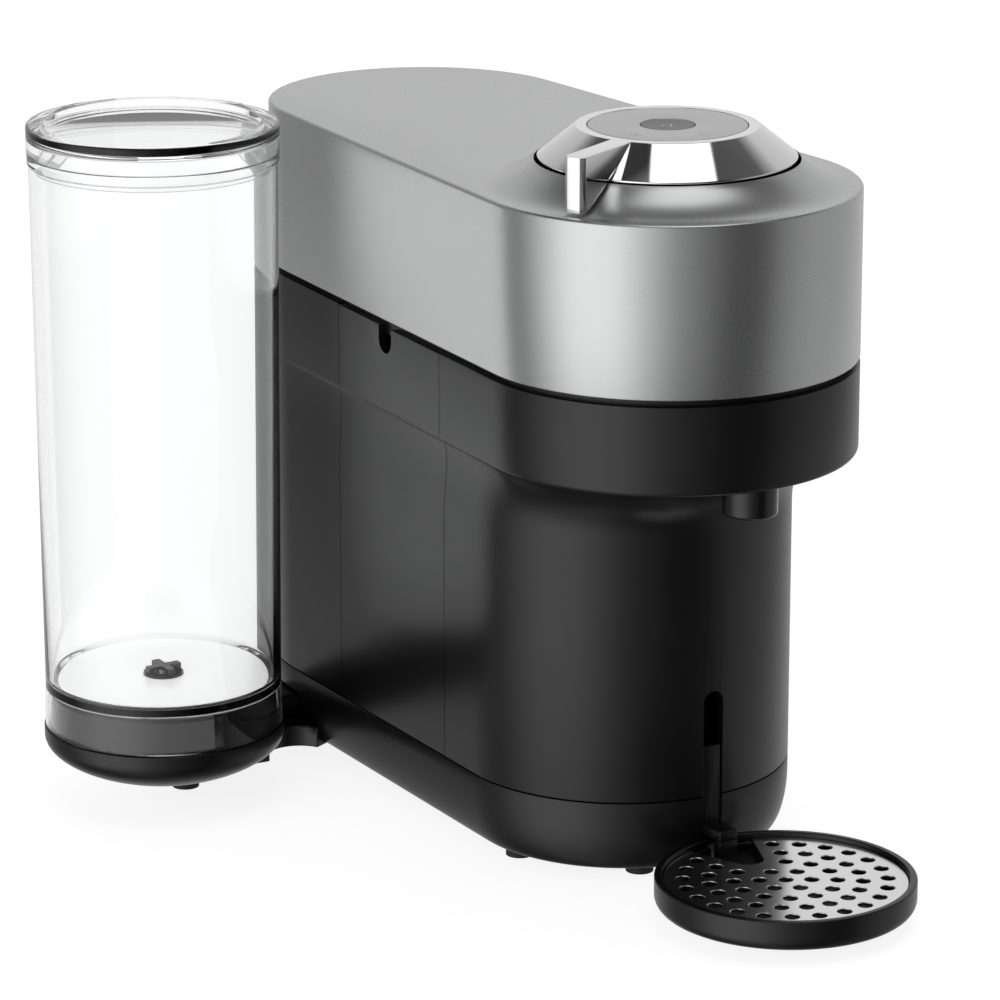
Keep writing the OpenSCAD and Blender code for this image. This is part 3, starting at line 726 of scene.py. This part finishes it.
def casing_rings(inset, low, high, edge):
    """Rings of the casing from its lower to its upper rim; the inset gives the inner skin."""
    grow = HEAD_R - HEAD_EDGE - COLUMN_R
    rings = [column_ring(inset + edge, low), column_ring(inset + edge * 0.3, low + edge * 0.3),
             column_ring(inset, low + edge)]
    for step in range(BLEND_STEPS + 1):
        t = math.pi / 2 * step / BLEND_STEPS
        out = 1 - math.cos(t)
        rings.append(plan_ring(BLEND_LOW + inset + (HEAD_LOW - BLEND_LOW) * math.sin(t),
                               COLUMN_R - inset + grow * out, COLUMN_Y * (1 - out), TAIL_R - inset))
    for step in range(1, 6):
        t = math.pi / 10 * step
        rings.append(plan_ring(HEAD_LOW + inset + HEAD_EDGE * (1 - math.cos(t)),
                               HEAD_R - inset - HEAD_EDGE * (1 - math.sin(t)), 0, TAIL_R - inset))
    rings += [head_ring(inset, high - edge), head_ring(inset + edge * 0.3, high - edge * 0.3),
              head_ring(inset + edge, high)]
    return rings


def make_casing(name):
    """Closed shell of the whole casing, before any cut."""
    outer = casing_rings(0, SEAM_Z + 0.2, BODY_TOP, 0.4)
    inner = casing_rings(WALL, SEAM_Z + 0.2, BODY_TOP, 0.0)
    return skin(name, outer + list(reversed(inner)), loop=True)


# %% Tools that cut the casing
PANEL_FRONT = (51.0, 45.0)
PANEL_REAR = (130.0, 126.5)
PANEL_TURN = (122.0, 156.0)
NOTCH_Y = 88.0
NOTCH_W = 10.0
SLOT_HALF = 4.0
SLOT_TOP = 69.4
SPOUT_R = 9.7


def panel_tool(name, gap):
    """Prism through the left wall, as the side panel is seen from the left."""
    shares = [k / 8 for k in range(9)]
    turn = [PANEL_TURN[0] + (PANEL_TURN[1] - PANEL_TURN[0]) * u for u in shares]
    ease = [u * u * (3 - 2 * u) for u in shares]
    front = [(PANEL_FRONT[0] + (PANEL_FRONT[1] - PANEL_FRONT[0]) * e + gap, z) for e, z in zip(ease, turn)]
    rear = [(PANEL_REAR[0] + (PANEL_REAR[1] - PANEL_REAR[0]) * e - gap, z) for e, z in zip(ease, turn)]
    foot, top = SEAM_Z - 1 + gap * 4, BODY_TOP + 1 - gap * 4
    side = [(front[0][0], foot)] + front + [(front[-1][0], top), (rear[-1][0], top)]
    side += list(reversed(rear)) + [(rear[0][0], foot)]
    return prism(name, [at(-HEAD_R - 20, y, z) for y, z in side], Vector((58 * MM, 0, 0)))


def slot_tool(name, low):
    """Upright slot with a round top in the column's front."""
    front = COLUMN_Y - COLUMN_R
    crown = arc(0, SLOT_TOP - SLOT_HALF, SLOT_HALF, 0, 180, 16)
    side = [at(SLOT_HALF, front - 9, low)] + [at(p.x, front - 9, p.y) for p in crown]
    return prism(name, side + [at(-SLOT_HALF, front - 9, low)], Vector((0, 17 * MM, 0)))


def make_body_casing():
    casing = make_casing("body_casing")
    carve(casing, panel_tool("panel_cut", 0.0))
    carve(casing, slot_tool("slot_cut", 12))
    hole = rounded([(0, 130, 0), (SPOUT_R + 0.5, 130, 0), (SPOUT_R + 0.5, 160, 0), (0, 160, 0)])
    return carve(casing, lathe("spout_hole", SPOUT, hole, 64))


fit(make_body_casing(), FINISHES["black_plastic"], "machine", ["body_shell"])

# %% [markdown]
# ### Pod drawer
# The side panel is the outer wall of the drawer that collects used pods, so panel and bin are one
# piece and slide out together. The panel is the same loft as the casing, crossed with the same tool
# made a hair smaller: the seam between them then has an even width all the way along.

# %% Pod drawer
BIN_LOW = (-57.6, 54.0, 34.0)
BIN_HIGH = (16.0, 125.0, 150.0)
BIN_WALL = 2.2


def make_pod_drawer():
    panel = carve(make_casing("pod_drawer"), panel_tool("panel_keep", 0.32), "INTERSECT")
    depth = 10.0
    low = BODY_TOP - depth + NOTCH_W / 2
    cup = arc(NOTCH_Y, low, NOTCH_W / 2, 180, 360, 20)
    side = [(NOTCH_Y + NOTCH_W / 2, BODY_TOP + 4)] + [(NOTCH_Y - NOTCH_W / 2, BODY_TOP + 4)]
    notch = [at(-HEAD_R - 20, y, z) for y, z in side + [(p.x, p.y) for p in cup]]
    carve(panel, prism("notch_cut", notch, Vector((60 * MM, 0, 0))))
    bin_ = soften(block("bin", BIN_LOW, BIN_HIGH), 2.5)
    low = [edge + BIN_WALL for edge in BIN_LOW]
    high = [BIN_HIGH[0] - BIN_WALL, BIN_HIGH[1] - BIN_WALL, BIN_HIGH[2] + 9]
    carve(bin_, soften(block("bin_hollow", low, high), 1.5))
    return carve(panel, bin_, "UNION")


fit(make_pod_drawer(), FINISHES["black_plastic"], "container", ["pod_container"])

# %% [markdown]
# ## Base with the tank's bowl
# Below the seam the column rounds in to a smaller foot, and a low arm reaches out to a bowl that
# carries the water tank. Base, arm and bowl are one moulding, so they are joined into one solid.

# %% Base, arm and bowl
LIFT_Z = 4.0
ROUND_TOP = 25.0
ROUND_IN = 7.0
BOWL_TOP = 28.0
BOWL_R = 44.3
BOWL_LOW = 5.2
ARM_TOP = 12.0
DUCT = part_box("arm_duct")
TANK_FOOT = (-115, 148.5)


def base_rings():
    """Outer face from foot to seam, then a lip that reaches into the casing, then the inside."""
    edge = 0.4
    steps = 16
    rings = [column_ring(ROUND_IN + WALL, LIFT_Z)]
    for step in range(steps + 1):
        t = math.pi / 2 * (1 - step / steps)
        height = ROUND_TOP - (ROUND_TOP - LIFT_Z) * math.sin(t)
        rings.append(column_ring(ROUND_IN * (1 - math.cos(t)), height))
    top = SEAM_Z - 0.2
    rings += [column_ring(0, top - edge), column_ring(edge * 0.3, top - edge * 0.3), column_ring(edge, top)]
    rings += [column_ring(WALL + 0.3, top), column_ring(WALL + 0.3, top + 3), column_ring(2 * WALL, top + 3)]
    return rings + [column_ring(2 * WALL, 16), column_ring(ROUND_IN + WALL, 16)]


def dish(radius, low, high, steps=24):
    """Half section of a dish, from the middle of its underside to its widest place."""
    turns = [math.pi / 2 * step / steps for step in range(steps + 1)]
    return [Vector((radius * math.sin(t) ** 1.5, high - (high - low) * math.cos(t))) for t in turns]


def bowl_profile():
    """Half section of the bowl: its underside, its rim and its inside back to the middle."""
    rim = arc(BOWL_R - 0.5, BOWL_TOP - 0.5, 0.5, 0, 90, 4)
    inside = dish(41.7, BOWL_LOW + WALL, ROUND_TOP + 1.5)
    return dish(BOWL_R, BOWL_LOW, ROUND_TOP - 1) + rim + [Vector((41.9, BOWL_TOP))] + list(reversed(inside))


def touching_centre(a, a_r, b, b_r, r):
    """Centre of a circle that touches two circles from outside, to the left of the way from a to b."""
    gap = (b - a).length
    way = (b - a) / gap
    along = ((a_r + r) ** 2 - (b_r + r) ** 2 + gap * gap) / (2 * gap)
    off = math.sqrt((a_r + r) ** 2 - along * along)
    return a + way * along + Vector((-way.y, way.x)) * off


def make_arm():
    """Web between bowl and body, hollowed front and rear by round cutters."""
    tank = Vector(((TANK - LID) / MM).xy)
    tail = Vector((0, TAIL_Y))
    hollow_r = 12.0
    rear_hollow_r = 40.0
    hollow = Vector((-68.7, 145))
    rear = touching_centre(tank, BOWL_R, tail, TAIL_R, rear_hollow_r)
    corners = [at(p.x, p.y, LIFT_Z) for p in (tank, hollow, Vector((-20, TAIL_Y)), rear)]
    arm = prism("arm", corners, Vector((0, 0, (ARM_TOP - LIFT_Z) * MM)))
    for centre, radius in ((hollow, hollow_r), (rear, rear_hollow_r)):
        post = [(0, 0, 0), (radius, 0, 0), (radius, 30, 0), (0, 30, 0)]
        carve(arm, lathe("hollow", at(centre.x, centre.y, 0), rounded(post), 128))
    return soften(arm, 1.2)


def make_base():
    base = skin("base_casing", base_rings(), loop=True)
    carve(base, slot_tool("slot_cut", 12))
    carve(base, make_arm(), "UNION")
    boss = [(0, LIFT_Z, 0), (6, LIFT_Z, 0.6), (6, BOWL_LOW + 2, 0), (0, BOWL_LOW + 2, 0)]
    foot = at(*TANK_FOOT, 0)
    carve(base, lathe("foot_boss", foot, rounded(boss), 48), "UNION")
    carve(base, lathe("bowl", TANK, bowl_profile()), "UNION")
    low, high = [(corner - LID) / MM for corner in DUCT]
    return carve(base, block("duct_way", (low.x - 1, low.y - 0.3, 12.05), (high.x + 12, high.y + 0.3, 22)))


fit(make_base(), FINISHES["black_plastic"], "machine", ["base_shell"])

# %% [markdown]
# ### Dock
# Inside the bowl stands a glossy round boss that the tank's clear skirt slips over, with a raised
# ring for the valve. A duct carries the water pipe along the arm.

# %% Dock boss and duct
BOSS_R = 40.8
BOSS_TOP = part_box("dock_cover")[1].z / MM
BOSS_LOW = 24.6


def make_dock_boss():
    profile = [(5, BOSS_TOP, 0.3), (5, BOSS_TOP - 2.4, 0), (BOSS_R - 2.4, BOSS_TOP - 2.4, 0),
               (BOSS_R - 2.4, BOSS_LOW, 0), (BOSS_R, BOSS_LOW, 0), (BOSS_R, 26, 0), (41.4, 26, 0),
               (41.4, BOWL_TOP, 0.3), (BOSS_R, BOWL_TOP, 0),
               (BOSS_R, BOSS_TOP, 1.4), (34, BOSS_TOP, 0.3), (33.4, BOSS_TOP - 0.8, 0.3),
               (12.6, BOSS_TOP - 0.8, 0.3), (12, BOSS_TOP, 0.3)]
    return lathe("dock_boss", TANK, rounded(profile))


def make_duct():
    low, high = [(corner - LID) / MM for corner in DUCT]
    return soften(block("water_duct", low, high), 1.0)


fit(make_dock_boss(), FINISHES["gloss_black"], "machine", ["dock_cover"])
fit(make_duct(), FINISHES["black_plastic"], "machine", ["arm_duct"])

# %% [markdown]
# ## Lid: chrome ring, lever, disc and button
# The ring is a polished cone with a flat rim, and the lever grows out of it. Chrome shows nothing but
# its surroundings, so its form has to be exact: the cone is turned, the lever is a side view pushed
# sideways with its end chamfered, and the two are joined with a crisp inner corner.

# %% Ring and lever
LID_TOP = cad_box[1].z / MM
RING_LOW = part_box("lever_ring")[0].z / MM
SEAM = 254.7
RING_R = 45.2
RIM_OUT = 32.0
RIM_IN = 28.05
LEVER_TURN = math.radians(-153)
LEVER_REACH = 63.0
LEVER_HALF = 4.0
LEVER_CHAMFER = 1.6


def make_ring():
    profile = [(RING_R, SEAM, 0.2), (RING_R, SEAM + 0.7, 0.3), (RIM_OUT, LID_TOP, 0.8),
               (RIM_IN, LID_TOP, 0.3),
               (RIM_IN, LID_TOP - 1.6, 0), (29.6, LID_TOP - 1.6, 0), (29.6, SEAM + 2.6, 0),
               (31.4, SEAM + 2.6, 0), (31.4, LID_TOP - 3.2, 0), (41.5, SEAM + 1.2, 0), (41.5, SEAM, 0)]
    return lathe("lever_and_ring", LID, rounded(profile), 192)


def make_lever():
    """Blade whose underside clears the flare, built along +X and then turned to its place."""
    side = [(31, LID_TOP, 0), (LEVER_REACH, LID_TOP, 0), (LEVER_REACH, RING_LOW, 0), (61.6, RING_LOW, 0.6),
            (56, 249.4, 6), (50, 253, 8), (46.5, 255.4, 2), (33, 263.2, 0)]
    outline_side = [Vector((x, -LEVER_HALF, z)) * MM for x, z in rounded(side)]
    blade = prism("lever", outline_side, Vector((0, 2 * LEVER_HALF * MM, 0)))
    cut = LEVER_REACH - LEVER_CHAMFER
    plan = [(0, -LEVER_HALF), (cut, -LEVER_HALF), (LEVER_REACH, LEVER_CHAMFER - LEVER_HALF),
            (LEVER_REACH, LEVER_HALF - LEVER_CHAMFER), (cut, LEVER_HALF), (0, LEVER_HALF)]
    keep = prism("lever_plan", [Vector((x, y, 200)) * MM for x, y in plan], Vector((0, 0, 0.1)))
    soften(carve(blade, keep, "INTERSECT"), 0.35, 3, 25)
    blade.data.transform(Matrix.Translation(LID) @ Matrix.Rotation(LEVER_TURN, 4, "Z"))
    return blade


fit(carve(make_ring(), make_lever(), "UNION"), FINISHES["chrome"], "lever", ["lever_ring"], 24)

# %% Disc and button
BUTTON_R = 9.4
DISC_R = 27.8


def make_disc():
    profile = [(BUTTON_R + 0.25, LID_TOP - 0.04, 0.3), (DISC_R, LID_TOP - 0.04, 0.35), (DISC_R, 263.4, 0),
               (26.8, 263.4, 0), (26.8, 258, 0), (25, 258, 0), (25, 264, 0), (BUTTON_R + 0.25, 264, 0)]
    return lathe("top_disc", LID, rounded(profile))


def make_button():
    """Cap with a very shallow dish, so that a fingertip finds it."""
    dish = [(BUTTON_R * k / 8, LID_TOP - 0.1 - 0.25 * (1 - (k / 8) ** 2), 0) for k in range(8)]
    profile = dish + [(BUTTON_R, LID_TOP - 0.1, 0.35), (BUTTON_R, 264.4, 0), (3, 264.4, 0),
                      (3, 258.4, 0.3), (0, 258.4, 0)]
    return lathe("start_button", LID, rounded(profile))


fit(make_disc(), FINISHES["satin_disc"], "lid", ["lid_disc"])
fit(make_button(), FINISHES["button_grey"], "button", ["brew_button"])

# %% [markdown]
# ### Marks on the lid
# Small printed signs tell where the lever locks and opens. They are plain generic shapes: a closed
# ring, an open ring, and a drop on the button. Each is a thin ribbon along a path of points.

# %% Printed signs
PRINT_HALF = 0.28


def ribbon(name, path, z, closed=False):
    """Thin raised line of print along flat points in millimetres beside the lid's axis."""
    points = []
    count = len(path)
    for index, point in enumerate(path):
        after = path[(index + 1) % count] if closed or index + 1 < count else point
        before = path[index - 1] if closed or index else point
        way = (after - before).normalized()
        side = Vector((-way.y, way.x)) * PRINT_HALF
        points.append((point + side, point - side))
    outer = [at(a.x, a.y, height) for height in (z, z + 0.03) for a, b in points]
    inner = [at(b.x, b.y, height) for height in (z, z + 0.03) for a, b in points]
    mesh_points = outer + inner
    spans = range(count) if closed else range(count - 1)
    faces = []
    for i in spans:
        j = (i + 1) % count
        low_out, low_in, top_out, top_in = i, 2 * count + i, count + i, 3 * count + i
        low_out2, low_in2, top_out2, top_in2 = j, 2 * count + j, count + j, 3 * count + j
        faces += [(top_out, top_in, top_in2, top_out2), (low_out, low_out2, low_in2, low_in),
                  (low_out, top_out, top_out2, low_out2), (low_in, low_in2, top_in2, top_in)]
    if not closed:
        last = count - 1
        faces += [(0, 2 * count, 3 * count, count),
                  (last, count + last, 3 * count + last, 2 * count + last)]
    return new_piece(name, mesh_points, faces)


def sign_spot(degrees, radius=20.7):
    return Vector(polar(radius, degrees))


def make_signs():
    lock = sign_spot(-157)
    open_ = sign_spot(-85)
    ring = [lock + Vector(polar(1.5, 360 * k / 20)) for k in range(20)]
    gap = [open_ + Vector(polar(1.5, 60 + 270 * k / 16)) for k in range(17)]
    bar = [lock + Vector(polar(2.6, -157 + 90)), lock + Vector(polar(4.4, -157 + 90))]
    tick = [open_ + Vector(polar(2.6, 5)), open_ + Vector(polar(4.4, 5))]
    z = LID_TOP - 0.05
    return join(ribbon("lid_signs", ring, z, True), ribbon("gap", gap, z), ribbon("bar", bar, z),
                ribbon("tick", tick, z))


def make_drop():
    """Outline of a drop lying on the button."""
    round_end = [Vector((-0.9, -0.6)) + Vector(polar(1.7, a)) for a in range(70, 331, 20)]
    return ribbon("button_drop", round_end + [Vector((2.6, 1.8))], LID_TOP - 0.36, True)


fit(make_signs(), PRINT, "lid")
fit(make_drop(), PRINT, "button")

# %% [markdown]
# ## Spout and drip tray
# The spout is a polished nozzle with a round mouth. The tray is a shallow turned cup with a soft
# lower edge and a rim that hides the grid's edge.

# %% Spout
def make_spout():
    low, top = 139.6, 158.2
    profile = [(6.5, low, 0.6), (SPOUT_R, low, 1.4), (SPOUT_R, 156.2, 0), (10.8, 156.2, 0.2), (10.8, top, 0),
               (3, top, 0), (3, low + 4, 0.3), (6.5, low + 3, 0.6)]
    return lathe("coffee_spout", SPOUT, rounded(profile), 96)


fit(make_spout(), FINISHES["gloss_black"], "machine", ["outlet_spout"])

# %% Tray
TRAY_LOW = tray_low.z / MM
TRAY_TOP = tray_high.z / MM
STEM_HALF = 3.7


def make_tray():
    profile = [(0, TRAY_LOW, 0), (TRAY_R, TRAY_LOW, 4.4), (TRAY_R, TRAY_TOP, 0.7),
               (TRAY_R - 2.7, TRAY_TOP, 0.6),
               (TRAY_R - 2.7, 13, 0), (TRAY_R - 4.5, 13, 0.4), (TRAY_R - 4.5, 9, 0),
               (TRAY_R - 6, TRAY_LOW + 2.2, 1.0), (0, TRAY_LOW + 2.2, 0)]
    tray = lathe("tray_cup", TRAY, rounded(profile, 8), 160)
    low = (-STEM_HALF - 0.2, TRAY_R - 6, TRAY_LOW + 3)
    return carve(tray, block("stem_way", low, (STEM_HALF + 0.2, TRAY_R + 1, 20), TRAY))


fit(make_tray(), FINISHES["black_plastic"], "tray", ["drip_tray"])

# %% [markdown]
# ### Pierced grid
# A flat curve can hold an outline and any number of holes; Blender fills between them, gives it
# thickness and rounds the edges. That is far lighter than cutting sixty holes with booleans.

# %% Grid
GRID_R = TRAY_R - 3.1
HOLE_R = 2.6
HOLE_ROWS = [(9.0, 6, 60.0), (18.0, 11, 29.2), (26.8, 17, 18.7), (35.6, 21, 15.35)]
GRID_LOW, GRID_HIGH = [corner.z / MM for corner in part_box("drip_grid")]
TONGUE_NEAR = (5.5, 23.5)
TONGUE_FAR = (14.0, 46.0)


def tongue_edge(inset=0.0):
    """Left to right round the tongue's tip: a small circle with sides that open to a bigger one."""
    near_r, near_y = TONGUE_NEAR[0] - inset, TONGUE_NEAR[1]
    far_r, far_y = TONGUE_FAR[0] - inset, TONGUE_FAR[1]
    tilt = math.degrees(math.asin((near_r - far_r) / (far_y - near_y)))
    tip = arc(0, near_y, near_r, 180 - tilt, 360 + tilt, 20)
    return [Vector(polar_at(far_r, 180 - tilt, far_y))] + tip + [Vector(polar_at(far_r, tilt, far_y))]


def polar_at(radius, degrees, up):
    across, along = polar(radius, degrees)
    return across, along + up


def plate_outline():
    """Round plate with the tongue's gap on its far side."""
    edge = tongue_edge()
    first, second = edge[0], edge[1]
    shares = [k / 200 for k in range(201)]
    meets = next(s for s in shares if first.lerp(second, s).length < GRID_R)
    entry = first.lerp(second, meets)
    angle = math.degrees(math.atan2(entry.y, entry.x))
    return arc(0, 0, GRID_R, angle, 540 - angle, 140)[:-1] + [Vector((-entry.x, entry.y))] + list(
        reversed(edge[1:-1])) + [entry]


def add_loop(curve, points):
    line = curve.splines.new("POLY")
    line.points.add(len(points) - 1)
    line.use_cyclic_u = True
    for place, point in zip(line.points, points):
        place.co = (point.x * MM, point.y * MM, 0, 1)


def make_grid():
    edge = 0.18
    curve = bpy.data.curves.new("pierced_grid", "CURVE")
    curve.dimensions = "2D"
    curve.fill_mode = "BOTH"
    curve.extrude = ((GRID_HIGH - GRID_LOW) / 2 - edge) * MM
    curve.bevel_depth = edge * MM
    curve.offset = -edge * MM
    curve.bevel_resolution = 1
    add_loop(curve, plate_outline())
    centres = [Vector((0, 0))]
    for radius, count, step in HOLE_ROWS:
        centres += [Vector(polar(radius, -90 + (i - count // 2) * step)) for i in range(count)]
    for centre in centres:
        add_loop(curve, [centre + Vector(polar(HOLE_R, 360 * k / 36)) for k in range(36)])
    drawn = bpy.data.objects.new("grid_curve", curve)
    bpy.context.scene.collection.objects.link(drawn)
    mesh = bpy.data.meshes.new_from_object(drawn.evaluated_get(bpy.context.evaluated_depsgraph_get()))
    bpy.data.objects.remove(drawn)
    mesh.transform(Matrix.Translation(TRAY + Vector((0, 0, (GRID_LOW + GRID_HIGH) / 2 * MM))))
    piece = bpy.data.objects.new("pierced_grid", mesh)
    bpy.context.scene.collection.objects.link(piece)
    return piece


fit(make_grid(), FINISHES["pierced_steel"], "grid", ["drip_grid"])

# %% [markdown]
# ### Tray hook
# The tray hangs on a flat stem that slides in the column's slot. At the tray's end it spreads into a
# tongue that fills the gap in the grid.

# %% Tray hook
def make_hook():
    front = COLUMN_Y - COLUMN_R + 0.8
    shoe = COLUMN_Y - COLUMN_R + WALL + 0.9
    near = (TRAY.y - LID.y) / MM + TRAY_R
    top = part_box("tray_stem")[1].z / MM
    upright = soften(block("tray_hook", (-STEM_HALF, front, 16.5), (STEM_HALF, shoe, top)), 0.4)
    slide = block("shoe", (-8, shoe, 20), (8, shoe + 2.6, top - 2))
    reach = block("reach", (-STEM_HALF, near - 10, 16.5), (STEM_HALF, front + 0.5, 20.6))
    drop = block("drop", (-STEM_HALF, near - 10, 9), (STEM_HALF, near - 6, 17))
    keep = [(0, 0, 0), (TRAY_R - 6.6, 0, 0), (TRAY_R - 6.6, 20, 0), (0, 20, 0)]
    leaf = [at(point.x, point.y, 6.6, TRAY) for point in tongue_edge(0.4)]
    tongue = carve(prism("tongue", leaf, Vector((0, 0, 4.4 * MM))),
                   lathe("tongue_keep", TRAY, rounded(keep)), "INTERSECT")
    for part in (slide, soften(reach, 0.5), soften(drop, 0.3), soften(tongue, 0.5)):
        carve(upright, part, "UNION")
    return upright


fit(make_hook(), FINISHES["black_plastic"], "tray", ["tray_stem"])

# %% [markdown]
# ## Water tank
# The beaker is clear all through, so both faces of its wall matter: light bends at each. It is turned
# as one closed profile with rounded rims. Its floor is pale.

# %% Tank, floor and cap
TANK_FLOOR = 42.6
TANK_R = 45.5
TANK_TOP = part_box("tank_lid")[1].z / MM


def make_beaker():
    top_r, low_r, wall = 44.8, 43.5, 2.2
    profile = [(43.9, BOWL_TOP + 0.3, 0.4), (low_r, TANK_FLOOR + 1.4, 2), (top_r, 239.1, 0.4),
               (TANK_R - 0.2, 239.7, 0.3), (TANK_R - 0.2, 243, 0.4), (top_r - wall, 243, 0.4),
               (top_r - wall, 239.7, 1), (low_r - wall, TANK_FLOOR + 4, 1.5),
               (low_r - wall - 1.6, TANK_FLOOR + 2.4, 1), (6, TANK_FLOOR + 2.4, 0), (6, TANK_FLOOR, 0),
               (low_r - wall + 0.3, TANK_FLOOR, 0.6), (low_r - wall + 0.3, BOWL_TOP + 0.3, 0.4)]
    return lathe("tank_beaker", TANK, rounded(profile), 192)


def make_tank_floor():
    low, top = TANK_FLOOR + 2.42, TANK_FLOOR + 2.7
    profile = [(7.6, low, 0), (39.2, low, 0), (39.2, top, 0.1), (7.6, top, 0.1)]
    return lathe("tank_floor", TANK, rounded(profile))


def make_tank_cap():
    profile = [(0, 249.4, 0), (38.6, 249.4, 1), (40.6, 248, 1), (40.6, 237, 0.4), (42, 237, 0.4),
               (42, 243.3, 0.5), (TANK_R, 243.3, 0.4), (TANK_R, TANK_TOP, 1.2),
               (39.6, TANK_TOP, 1.0), (38.2, 251.6, 1.0), (0, 251.6, 0)]
    return lathe("tank_cap", TANK, rounded(profile), 192)


fit(make_beaker(), FINISHES["clear_plastic"], "tank", ["tank_body"])
fit(make_tank_floor(), FROSTED, "tank")
fit(make_tank_cap(), FINISHES["clear_plastic"], "tank_cover", ["tank_lid"])
